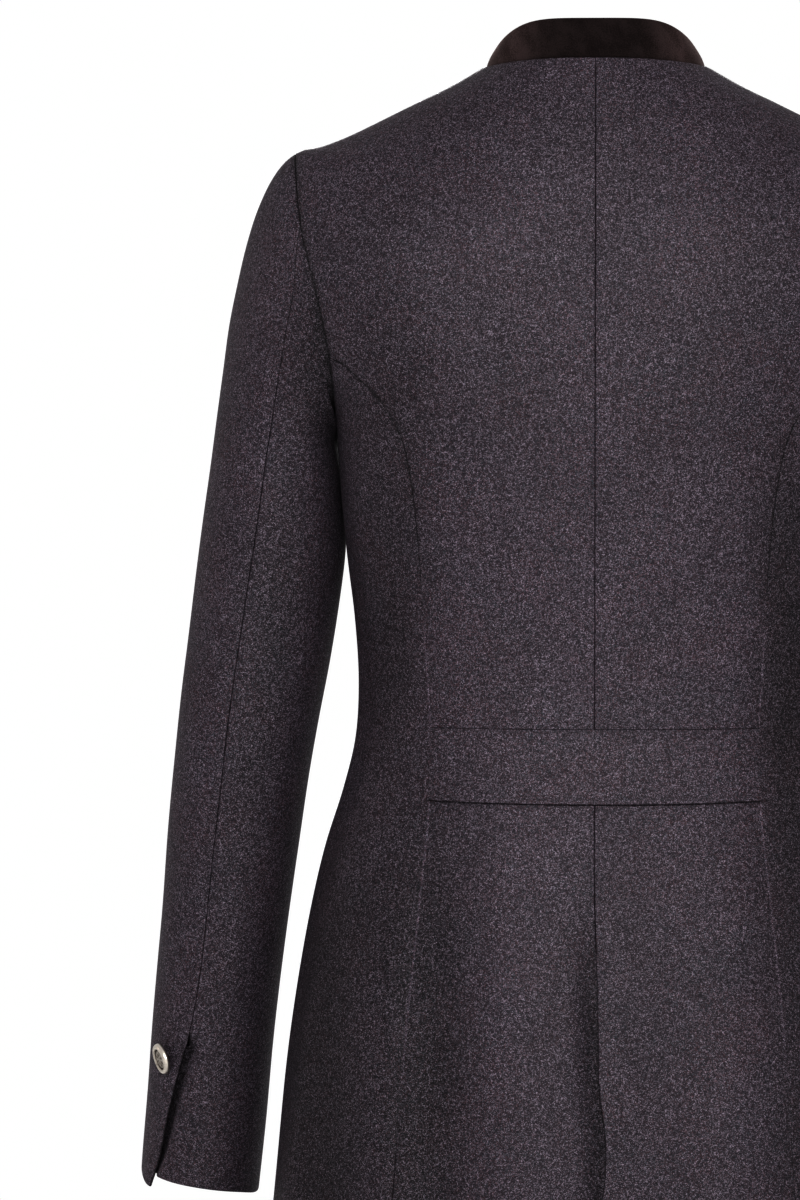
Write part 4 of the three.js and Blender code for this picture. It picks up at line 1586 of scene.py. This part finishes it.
@dataclass
class BackBelt:
    """The belt sewn over the back between the princess seams, and its two rows of stitches.

    It comes out of the seam along its top edge and stands off at its lower one.
    """

    body: BodyForm
    wool: bpy.types.Material
    thread: bpy.types.Material
    creases: Sequence[Crease]
    row_step: float = 2.2
    columns: int = 104
    sag: float = 2.5  # how much lower it hangs in the middle
    roll: float = 0.75  # how much further its lower edge stands off
    tuck: float = 1.3  # how much lower its top edge lies
    top_row: float = 1.6  # where the stitches run, from either edge
    low_row: float = 3.0
    margin: float = 3.0  # where they start and stop, from either end
    pitch: float = 3.1
    jitter: float = 0.15  # how unevenly they are spaced
    stitch: Triple = (1.0, 0.26, 0.22)  # a stitch's half length, width and height
    stitch_rise: float = 0.05
    stitch_grid: tuple[int, int] = (5, 6)  # rings along a stitch, and points round each
    stitch_end: float = 0.25  # how far its end rings lie from its tips, in radians

    def laid_at(self, turn: Array, row: Array) -> tuple[Array, Array, Array]:
        """The belt's form at some places, with its droop and its lift.

        Args:
            turn: The turns.
            row: The rows of the straight belt.

        Returns:
            The points on the body's form, the normals there and the lift.
        """
        down = (row - BELT_TOP) / BELT_DEPTH
        droop = self.sag * down * np.cos(np.radians(2.0 * self.body.angle(turn, row)))
        low = row + droop
        points = self.body.point(turn, low)
        lift = LAP_GAP + WALL + self.body.folds(turn, low) + crumple(points)
        lift += all_creases(self.creases, points) + self.roll * smooth(down, 0.45, 1.0)
        return points, self.body.normal(turn, low), lift - self.tuck * beside(down, 0.0, 0.16)

    def bead(self) -> tuple[Array, Array]:
        """One stitch: a ball of a few rings, stretched to its sizes.

        Returns:
            Its points along, across and off the cloth, and its triangles.
        """
        rings, sides = self.stitch_grid
        around, along = np.meshgrid(
            np.linspace(0.0, 2.0 * math.pi, sides, endpoint=False),
            np.linspace(self.stitch_end, math.pi - self.stitch_end, rings),
        )
        ball = np.stack([np.cos(along), np.sin(along) * np.cos(around), np.sin(along) * np.sin(around)], -1)
        points = np.concatenate([ball.reshape(-1, 3), [[1.0, 0, 0], [-1.0, 0, 0]]]) * self.stitch
        return points, ring_triangles(rings, sides)[:, ::-1]

    def stitches(self) -> bpy.types.Object:
        """Both rows of stitches, each a small closed bead of thread that lies along its row.

        Returns:
            The piece.
        """
        bead, triangles = self.bead()
        points, chance = [], np.random.default_rng(8)
        for row in (BELT_TOP + self.top_row, BELT_TOP + BELT_DEPTH - self.low_row):
            side = float(self.body.princess(np.array(row)))
            turns = np.linspace(-side, side, LINE_SAMPLES)
            length = run_length(self.body.point(turns, row + 0.0 * turns)[None], 1)[0]
            wanted = np.arange(self.margin, length[-1] - self.margin, self.pitch)
            wanted = wanted + chance.uniform(-self.jitter, self.jitter, len(wanted))
            turn = np.interp(wanted, length, turns)
            place, normal, lift = self.laid_at(turn, row + 0.0 * turn)
            place = place + (lift + self.stitch_rise)[:, None] * normal
            ahead = unit(np.gradient(place, axis=0))
            frames = np.stack([ahead, np.cross(normal, ahead), normal], axis=1)
            points.append((bead @ frames + place[:, None]).reshape(-1, 3))
        points = np.concatenate(points)
        starts = np.arange(0, len(points), len(bead))[:, None, None]
        return new_piece("back_belt_stitches", points, (triangles + starts).reshape(-1, 3), self.thread)

    def build(self) -> list[bpy.types.Object]:
        """Makes the belt and its stitches.

        Returns:
            The belt's pieces.
        """
        rows = rows_between(BELT_TOP, BELT_TOP + BELT_DEPTH, self.row_step)
        side = self.body.princess(rows)
        laid = lay(self.body, rows, [-side, side], (self.columns,))
        laid.points, laid.normals, lift = self.laid_at(laid.turn, laid.row)
        stitches = self.stitches()
        piece = Cloth(
            "back_belt_cloth",
            laid,
            lift,
            self.wool,
            "back_belt",
            held=Held.STRETCHED,
            rests_on=("back_left_cloth", "back_right_cloth"),
            carries=(stitches.name,),
            fill=seam_fill(laid, {"top": 0.15, "first": 0.6, "last": 0.6}),
            # Painted shade in the creases' hollows, and a little painted highlight on their ridges.
            nap=crease_painted_shade(self.creases, laid.points),
        ).build()
        return [piece, stitches]


@dataclass
class Collar:
    """The stand collar in suede, open at the front, with rounded front corners."""

    form: CollarForm
    suede: bpy.types.Material
    end: float = 176.0  # the turn of its front ends
    corner: float = 14.0  # over how many degrees its corners are rounded
    corner_foot: float = 0.55  # the share of its height at its very ends
    wall: float = 3.0
    edge: float = 1.5
    row_count: int = 22
    column_count: int = 250
    end_room: float = 3.0  # where the even columns start, from either end
    unevenness: float = 0.35
    painted_side_light: float = 1.9  # painted light: how much lighter its sides are painted, where light falls on them
    side_turns: Span = (18.0, 60.0)
    front_light: float = 0.5  # the share of that which its front ends lose
    front_turns: Span = (100.0, 150.0)

    def height(self, turn: Array) -> Array:
        """The share of the stand's height at each turn: its front corners are rounded."""
        left = np.clip((self.corner - (self.end - np.abs(turn))) / self.corner, 0.0, 1.0)
        return np.where(left > 0, mix(self.corner_foot, 1.0, np.sqrt(1.0 - left**2)), 1.0)

    def laid(self) -> LaidCloth:
        """Lays the suede by its own lengths, because its corners are round.

        Returns:
            The suede as laid.
        """
        samples = np.linspace(-self.end, self.end, LINE_SAMPLES)
        length = run_length(self.form.point(samples, 0.5 + 0.0 * samples)[None], 1)[0]
        near = np.array(BORDER_STEPS)
        even = np.linspace(self.end_room, length[-1] - self.end_room, self.column_count)
        turn = np.interp(np.concatenate([near, even, length[-1] - near[::-1]]), length, samples)
        seam, top = self.form.point(turn, 0.0 * turn), self.form.point(turn, 1.0 + 0.0 * turn)
        stand = np.linalg.norm(top - seam, axis=-1) * self.height(turn)
        low, high = near[:, None] + 0.0 * stand, stand - near[::-1, None]
        steps = np.linspace(0.0, 1.0, self.row_count)[1:-1, None]
        rise = np.concatenate([low, mix(low[-1:], high[:1], steps), high]) / stand * self.height(turn)
        turn = np.broadcast_to(turn, rise.shape)
        points, normals = self.form.point(turn, rise), self.form.normal(turn, rise)
        normals *= np.sign(np.sum(normals * points * [1.0, 1.0, 0.0], axis=-1, keepdims=True))
        across, up = run_length(points, 1), run_length(points, 0)
        border = {"first": across, "last": across[:, -1:] - across, "top": up[-1:] - up, "bottom": up}
        return LaidCloth(turn, rise, points, normals, border)

    def build(self) -> list[bpy.types.Object]:
        """Makes the collar.

        Returns:
            The collar's pieces.
        """
        laid = self.laid()
        aside = np.abs(laid.turn)
        # Painted light on the stand's sides, less on its front ends.
        ends = 1.0 - self.front_light * smooth(aside, *self.front_turns)
        piece = Cloth(
            "collar_suede",
            laid,
            crumple(laid.points, self.unevenness),
            self.suede,
            "collar",
            slot="collar_suede",
            wall=self.wall,
            edge=self.edge,
            held=Held.STRETCHED,
            nap=1.0 + self.painted_side_light * smooth(aside, *self.side_turns) * ends,
        ).build()
        return [piece]


@dataclass
class Sleeve:
    """A two-piece sleeve whose back seam opens in a slit at the cuff."""

    form: SleeveForm
    wool: bpy.types.Material
    creases: Sequence[Crease]
    side: Side
    row_step: float = 4.2
    slit_rows: tuple[float, ...] = (-1.0, 0.0, 1.0, 2.2, 3.6, 5.2, 7.2, 9.6)  # from the slit's top
    upper_columns: int = 58
    under_columns: tuple[int, int] = (8, 34)  # next to the slit, and beyond that
    slit_dip: float = 4.2  # how far the flap with the button lies below the upper sleeve
    slit_corner: float = 5.0  # how much lower the upper sleeve's corner hangs
    slit_underlap: float = 14.0  # the flap's width in degrees, as is the next one
    fixed: float = 14.0  # how far from the seam the under sleeve's columns don't follow the flap
    low_back: tuple[Span, Span] = ((0.0, 30.0), (100.0, 170.0))  # how far back and down it lies
    meeting: float = 4.0  # how far from the armhole the cloth faces as the body does
    fullness: float = 3.0  # how far the cloth bulges towards the body just under the armhole
    full_start: Span = (0.0, 9.0)
    full_place: Hump = (17.0, 17.0)
    full_facing: Span = (0.25, 0.85)  # how far the cloth has to face the body there
    armhole_tuck: float = 1.4  # how far the sleeve turns in under the back at the armhole
    tuck_reach: float = 24.0  # over what length
    armhole_fill: float = 0.1  # how flat each seam is pressed
    seam_fill: float = 0.25
    # Painted shade: the sleeve is darkened where less light falls, as the fields below set.
    armhole_shade: Pair = (0.58, 2.2)  # how much painted shade darkens it along the armhole, and how wide
    hollow_shade: Pair = (0.28, 16.0)  # and along the lower back of the armhole
    pit_shade: float = 0.36  # beside the armpit
    pit_out: Hump = (163.0, 22.0)
    pit_down: Span = (215.0, 265.0)
    inner_shade: float = 0.18  # on the inner side of the forearm
    inner_stations: Span = (7.0, 11.0)
    inner_angle: Hump = (104.0, 48.0)
    flap_shade: float = 0.62  # painted shadow on the flap, under the upper sleeve's edge
    flap_angles: tuple[Span, Span] = ((2.0, 15.0), (3.0, 10.0))  # of its dip and of its shade
    flap_stations: Span = (CUFF_SLIT - 0.28, CUFF_SLIT + 0.02)
    corner_angles: Span = (-36.0, -2.0)  # where the upper sleeve's corner hangs, from the seam
    corner_rise: tuple[float, Hump] = (0.9, (-46.0, 22.0))  # what share of it the hem rises beside that
    under_rise: float = 2.0  # how much higher the under sleeve's hem lies
    slit_rise: Pair = (1.4, 24.0)  # how much more at the slit, and how wide
    inner_drop: tuple[float, Hump] = (2.2, (172.0, 26.0))  # and how much less on the inner side

    def _stations(self) -> Array:
        """Stations about a row's step apart down the sleeve, crowded at both ends and the slit.

        Returns:
            The stations.
        """
        samples = np.linspace(0.0, SLEEVE_HEM, LINE_SAMPLES)
        length = run_length(self.form.point(0.0 * samples, samples)[None], 1)[0]
        slit = float(np.interp(CUFF_SLIT, samples, length))
        near = [slit + step for step in self.slit_rows]
        return np.interp(rows_between(0.0, float(length[-1]), self.row_step, near), length, samples)

    def _low_back(self, laid: LaidCloth) -> Array:
        """Where the sleeve is at the lower back of its armhole, from 0 to 1."""
        back, down = self.low_back
        return smooth(laid.points[..., 1], *back) * smooth(-laid.points[..., 2], *down)

    def _painted_shade(self, laid: LaidCloth) -> Array:
        """The painted shade, which darkens the sleeve where less light falls.

        It is darker in hollows, where the sleeve turns in at the armhole, beside the armpit and
        on the inner side of the forearm.

        Args:
            laid: The cloth as laid.

        Returns:
            The painted shade at each place, as a share of full brightness.
        """
        top, low_back = laid.border["top"], self._low_back(laid)
        dark, width = self.armhole_shade
        shade = 1.0 - dark * bell(top, width)
        dark, width = self.hollow_shade
        shade -= dark * low_back * bell(top, width)
        pit = hump(laid.points[..., 0], self.pit_out) * beside(-laid.points[..., 2], *self.pit_down)
        shade -= self.pit_shade * low_back * pit
        inner = smooth(laid.row, *self.inner_stations) * hump(self.form.angle(laid.turn), self.inner_angle)
        return crease_painted_shade(self.creases, laid.points) * (shade - self.inner_shade * inner)

    def _lift(self, laid: LaidCloth, slit: str) -> Array:
        """Creases, unevenness and the pull of the seams, the back one only above its slit.

        The cloth's normals also turn to the body's own at the armhole, so that both borders
        meet there.

        Args:
            laid: The cloth as laid.
            slit: The border that opens in the slit.

        Returns:
            The lift in millimetres.
        """
        top = laid.border["top"]
        seams = laid.border | {slit: laid.border[slit] + FAR * (laid.row > CUFF_SLIT)}
        sewn = np.minimum.reduce([seams[name] for name in ("first", "last", "top")])
        meeting = self.form.armhole_normals(laid.turn)
        laid.normals = unit(mix(laid.normals, meeting, bell(top, self.meeting)[..., None]))
        lift = crumple(laid.points) - seam_pull(sewn) + all_creases(self.creases, laid.points)
        lift -= self.armhole_tuck * self._low_back(laid) * beside(top, 0.0, self.tuck_reach)
        full = smooth(top, *self.full_start) * hump(top, self.full_place)
        return lift + self.fullness * full * smooth(-laid.normals[..., 0], *self.full_facing)

    def upper(self, rows: Array) -> bpy.types.Object:
        """The outer half, whose corner hangs lower where the slit opens.

        Args:
            rows: The stations.

        Returns:
            The piece.
        """
        seam = SLEEVE_SEAMS.at(rows)
        breaks = [self.form.turn_at(-seam["front"]), self.form.turn_at(seam["back"])]
        laid = lay(self.form, rows, breaks, (self.upper_columns,))
        off = self.form.angle(laid.turn) - seam["back"][:, None]
        rise, place = self.corner_rise
        corner = smooth(off, *self.corner_angles) - rise * hump(off, place)
        drop = self.slit_corner * smooth(laid.row, CUFF_SLIT, SLEEVE_HEM) * corner
        return self._piece("upper", "last", laid, self._lift(laid, "last"), drop, self._painted_shade(laid))

    def under(self, rows: Array) -> bpy.types.Object:
        """The inner half, which runs on under the upper one as the slit's flap.

        Args:
            rows: The stations.

        Returns:
            The piece.
        """
        seam = SLEEVE_SEAMS.at(rows)
        lap = self.slit_underlap * np.clip((rows - CUFF_SLIT + 0.02) / 0.1, 0.0, 1.0)
        angles = [seam["back"] - lap, seam["back"] + self.fixed, 360.0 - seam["front"]]
        breaks = [self.form.turn_at(angle) for angle in angles]
        laid = lay(self.form, rows, breaks, self.under_columns)
        angle = self.form.angle(laid.turn)
        off = angle - seam["back"][:, None]
        dips, darkens = self.flap_angles
        low = smooth(laid.row, *self.flap_stations)
        lift = self._lift(laid, "first") - self.slit_dip * low * beside(off, *dips)
        more, width = self.slit_rise
        less, place = self.inner_drop
        rise = self.under_rise + more * bell(off, width) - less * hump(angle, place)
        drop = -rise * smooth(laid.row, SLEEVE_HEM - 1.0, SLEEVE_HEM)
        # Painted shadow on the flap, under the upper sleeve's edge.
        nap = self._painted_shade(laid) * (1.0 - self.flap_shade * low * beside(off, *darkens))
        return self._piece("under", "first", laid, lift, drop, nap)

    def _piece(
        self, half: str, slit: str, laid: LaidCloth, lift: Array, drop: Array, nap: Array
    ) -> bpy.types.Object:
        """Builds one of the sleeve's two pieces.

        Args:
            half: Which half it is.
            slit: The border that opens in the slit.
            laid: The cloth as laid.
            lift: How far it is lifted.
            drop: How much lower it hangs.
            nap: Its painted shade, as a share of full brightness.

        Returns:
            The piece.
        """
        node = f"{half}_sleeve_{self.side.label}"
        fills = {"top": self.armhole_fill, "first": self.seam_fill, "last": self.seam_fill}
        fills[slit] = self.seam_fill * (laid.row < CUFF_SLIT)
        fill = seam_fill(laid, fills)
        return Cloth(
            f"{node}_cloth", laid, lift, self.wool, node, mirror=self.side, drop=drop, fill=fill, nap=nap
        ).build()

    def build(self) -> list[bpy.types.Object]:
        """Makes the upper and the under sleeve."""
        rows = self._stations()
        return [self.upper(rows), self.under(rows)]


# A button's outline from the middle of its back, over the rim, to the middle of its face: each
# point's radius and height as shares of the button's, and how tarnished it is.
BUTTON_OUTLINE = (
    (0.0, -0.55, 1.0),
    (0.16, -0.55, 1.0),
    (0.18, 0.02, 1.0),
    (0.6, 0.0, 0.9),
    (0.78, 0.03, 0.7),
    (0.93, 0.17, 0.35),
    (0.99, 0.32, 0.1),
    (1.0, 0.46, 0.05),
    (0.985, 0.62, 0.0),
    (0.94, 0.8, 0.0),
    (0.88, 0.93, 0.12),
    (0.8, 0.97, 0.25),
    (0.72, 0.94, 0.3),
    (0.665, 0.86, 0.45),
    (0.64, 0.74, 0.95),
    (0.61, 0.69, 1.0),
    (0.575, 0.7, 1.0),
    (0.55, 0.76, 0.6),
    (0.52, 0.79, 0.55),
    (0.45, 0.8, 0.58),
    (0.3, 0.8, 0.6),
    (0.15, 0.82, 0.55),
    (0.0, 0.83, 0.5),
)
FACE_ROW = 15  # the outline's point in the dark ring, inside which the boss lies


@dataclass
class Buttons:
    """Round metal buttons with a broad rim, a dark ring and a flat boss with a low flower."""

    body: BodyForm
    sleeve: SleeveForm
    silver: bpy.types.Material
    radius: float = 10.0
    height: float = 4.5
    first: float = 94.0  # the drop of the front's first button below the collar seam
    spacing: float = 84.0
    count: int = 5
    seat: float = 0.6  # how far the front's buttons stand off the cloth
    cuff_station: float = 18.25
    cuff_angle: float = 51.0
    cuff_seat: float = 1.8  # how far a cuff's button stands off the sleeve
    cuff_tilt: Triple = (0.76, 0.0, -0.42)  # how its face leans from the sleeve's
    segments: int = 96
    steps: int = 3  # rings between two of the outline's points
    petals: int = 8
    petal_height: float = 0.22
    petal_place: float = 0.33  # the petals' middle, as a share of the radius
    petal_width: float = 0.13
    petal_polish: float = 0.25  # how much less tarnished a petal is than the gap beside it

    def profile(self) -> tuple[Array, Array, Array]:
        """The outline as a smooth curve.

        Returns:
            Each point's radius, its height over the back, and how tarnished it is.
        """
        rows = tuple((float(i), *row) for i, row in enumerate(BUTTON_OUTLINE))
        table = SmoothTable(("at", "radius", "height", "tarnish"), rows)
        found = table.at(np.linspace(0.0, len(rows) - 1.0, self.steps * (len(rows) - 1) + 1))
        return np.abs(found["radius"]) * self.radius, found["height"] * self.height, found["tarnish"]

    def one(self, node: str, point: Array, facing: Array) -> bpy.types.Object:
        """Turns the outline round the button's axis and adds the flower's petals.

        A petal lifts the boss by a bell over its radius times the cosine of as many turns as
        there are petals.

        Args:
            node: The CAD button that it stands for.
            point: The middle of its back, in millimetres.
            facing: The direction of its face.

        Returns:
            The button.
        """
        radius, height, tarnish = self.profile()
        swing = np.linspace(0.0, 2.0 * math.pi, self.segments, endpoint=False)
        facing = unit(facing)
        side = unit(np.cross(np.array([0.0, 0.0, 1.0]), facing))
        up = np.cross(facing, side)
        face = np.arange(1, len(radius) - 1)[:, None] > self.steps * FACE_ROW
        along = bell(radius[1:-1, None] / self.radius - self.petal_place, self.petal_width) * face
        petals = np.cos(self.petals * swing) * along
        spokes = np.cos(swing)[:, None] * side + np.sin(swing)[:, None] * up
        out = height[1:-1, None] + self.petal_height * petals
        ring = radius[1:-1, None, None] * spokes + out[..., None] * facing
        ends = np.array([height[0] * facing, height[-1] * facing])
        points = np.concatenate([ring.reshape(-1, 3), ends]) + point
        piece = new_piece(f"{node}_metal", points, ring_triangles(*petals.shape), self.silver)
        dark = tarnish[1:-1, None] - self.petal_polish * petals
        set_attribute(piece, "tarnish", np.concatenate([dark.ravel(), tarnish[[0, -1]]]))
        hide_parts(node)
        log.info("%s: %d triangles", piece.name, len(piece.data.polygons))
        return piece

    def build(self) -> list[bpy.types.Object]:
        """Makes the front's and the cuffs' buttons.

        Returns:
            The buttons.
        """
        pieces = []
        levels = SmoothTable(("frontDrop", "level"), tuple((row[2], row[0]) for row in BODY_RINGS.rows))
        turn = np.array(180.0)
        for i in range(self.count):
            level = levels.at(self.first + i * self.spacing)["level"]
            normal = self.body.normal(turn, level)
            rise = WALL + LAP_GAP + self.seat + self.body.folds(-turn, level)
            point = self.body.point(turn, level) + rise * normal
            pieces.append(self.one(f"front_button_{i + 1}", point, normal))
        station, turn = np.array(self.cuff_station), self.sleeve.turn_at(np.array(self.cuff_angle))
        normal = self.sleeve.normal(turn, station)
        point = self.sleeve.point(turn, station) + self.cuff_seat * normal
        facing = unit(normal + np.array(self.cuff_tilt))
        for side in Side:
            mirror = np.array([side.value, 1.0, 1.0])
            pieces.append(self.one(f"cuff_button_{side.label}", point * mirror, facing * mirror))
        return pieces


@dataclass
class Studio:
    """A pale floor, soft lights, and a camera behind the coat."""

    floor_height: float = -1.43
    floor_radius: float = 3.0
    floor_sides: int = 128
    floor_tones: Pair = (0.80, 0.81)
    floor_glow: Triple = (1.5, 3.2, 0.34)  # from where to where it grows, and to what
    camera: Triple = (0.0, 3.2, -0.18)
    yaw: float = 2.146  # degrees towards the wearer's left
    pitch: float = 2.677  # degrees down
    lens: float = 156.1
    contrast: float = 0.6  # the display's gamma: less than 1 deepens the shadows
    glow: float = 0.5  # how strongly the white world lights cloth
    gleam: float = 0.9  # how strongly metal mirrors it
    aim: Triple = (0.0, 0.0, -0.45)  # where the lights point

    def floor(self) -> bpy.types.Object:
        """Makes the floor, a flat disc of one triangle for each side round its middle.

        Returns:
            The floor.
        """
        swing = np.linspace(0.0, 2.0 * math.pi, self.floor_sides, endpoint=False)
        round_it = np.stack([np.cos(swing), np.sin(swing)], axis=-1) * self.floor_radius
        points = np.pad(np.concatenate([round_it, [[0.0, 0.0]]]), ((0, 0), (0, 1)))
        points[:, 2] = self.floor_height
        here = np.arange(self.floor_sides)
        faces = np.stack([np.full(len(here), len(here)), here, np.roll(here, -1)], axis=-1)
        bench = NodeBench("floor_paint")
        place = bench.places()
        grain = bench.noise(place, 8.0, 3.0)
        away = bench.node("VectorMath", operation="LENGTH", i0=place).outputs["Value"]
        start, end, glow = self.floor_glow
        low, high = ((tone,) * 3 for tone in self.floor_tones)
        paint = bench.dress(
            Base_Color=bench.blend(bench.spread(grain, 0.2, 0.8), low, high),
            Roughness=bench.spread(grain, 0.3, 0.7, 0.7, 0.85),
            Emission_Color=(1.0, 1.0, 1.0),
            Emission_Strength=bench.spread(away, start, end, 0.0, glow),
        )
        mesh = bpy.data.meshes.new("floor")
        mesh.from_pydata(points.tolist(), [], faces.tolist())
        mesh.materials.append(paint)
        piece = bpy.data.objects.new("floor", mesh)
        bpy.context.scene.collection.objects.link(piece)
        return piece

    def light(
        self, name: str, place: Sequence[float], size: float, power: float, tint: Colour = (1.0, 1.0, 1.0)
    ) -> None:
        """Hangs a square soft box that faces the coat's middle.

        Args:
            name: The light's name.
            place: Where it hangs, in metres.
            size: Its side, in metres.
            power: Its power in watts.
            tint: Its colour.
        """
        data = bpy.data.lights.new(name, "AREA")
        data.shape, data.size, data.energy, data.color = "SQUARE", size, power, tint
        lamp = bpy.data.objects.new(name, data)
        lamp.location = place
        look = Vector(self.aim) - Vector(place)
        lamp.rotation_euler = look.to_track_quat("-Z", "Y").to_euler()
        bpy.context.scene.collection.objects.link(lamp)

    def backdrop(self) -> None:
        """Sets a world that is white to look at, and lights cloth and metal less."""
        world = bpy.data.worlds.new("studio")
        bpy.context.scene.world = world
        world.use_nodes = True
        nodes, links = world.node_tree.nodes, world.node_tree.links
        background = nodes["Background"]
        background.inputs["Color"].default_value = (1.0, 1.0, 1.0, 1.0)
        path = nodes.new("ShaderNodeLightPath")
        strength = nodes.new("ShaderNodeValue").outputs[0]
        strength.default_value = self.glow
        for ray, full in (("Is Glossy Ray", self.gleam), ("Is Camera Ray", 1.0)):
            chosen = nodes.new("ShaderNodeMapRange")
            chosen.inputs["To Max"].default_value = full
            links.new(strength, chosen.inputs["To Min"])
            links.new(path.outputs[ray], chosen.inputs["Value"])
            strength = chosen.outputs["Result"]
        links.new(strength, background.inputs["Strength"])

    def eye(self) -> None:
        """Places the camera: it looks forward along -Y, turned by its yaw and pitch."""
        data = bpy.data.cameras.new("eye")
        data.lens, data.sensor_width = self.lens, 36.0
        camera = bpy.data.objects.new("eye", data)
        camera.location = self.camera
        yaw, pitch = math.radians(self.yaw), math.radians(self.pitch)
        level = Vector((math.sin(yaw), -math.cos(yaw), 0.0)) * math.cos(pitch)
        look = level - Vector((0.0, 0.0, math.sin(pitch)))
        camera.rotation_euler = look.to_track_quat("-Z", "Y").to_euler()
        bpy.context.scene.collection.objects.link(camera)
        bpy.context.scene.camera = camera

    def build(self) -> None:
        """Sets up the whole studio: the lights behind the coat, and the same ones in front."""
        self.floor()
        self.backdrop()
        for turned in (1, -1):
            self.light(f"key_{turned}", (0.0, 3.3 * turned, 0.5), 0.6, 109.0)
            self.light(f"fill_{turned}", (-2.5, 3.6 * turned, 0.6), 1.3, 10.0)
            self.light(f"side_{turned}", (4.2 * turned, -0.5, 0.6), 1.6, 12.0, (1.0, 0.82, 0.74))
        self.eye()
        view = bpy.context.scene.view_settings
        view.view_transform, view.gamma = "Standard", self.contrast


def corners(box: tuple[Vector, Vector]) -> list[list[float]]:
    """A box's two corners as plain lists."""
    return [[float(value) for value in corner] for corner in box]


def main() -> None:
    """Builds and dresses the coat and its studio, and reports each piece."""
    logging.basicConfig(level=logging.INFO, format="%(name)s: %(message)s")
    body = BodyForm()
    sleeve = SleeveForm(body)
    wool = MelangeWool("charcoal_wool").build()
    silver = AntiqueSilver("antique_silver").build()
    pieces = BodyPieces(body, wool, BODY_CREASES).build()
    pieces += BackBelt(body, wool, Thread("charcoal_thread").build(), BODY_CREASES).build()
    pieces += Collar(CollarForm(body), Suede("brown_suede").build()).build()
    for side in Side:
        pieces += Sleeve(sleeve, wool, SLEEVE_CREASES, side).build()
    pieces += Buttons(body, sleeve, silver).build()
    Studio().build()
    log.info("%d pieces", len(pieces))


if __name__ == "__main__":
    main()
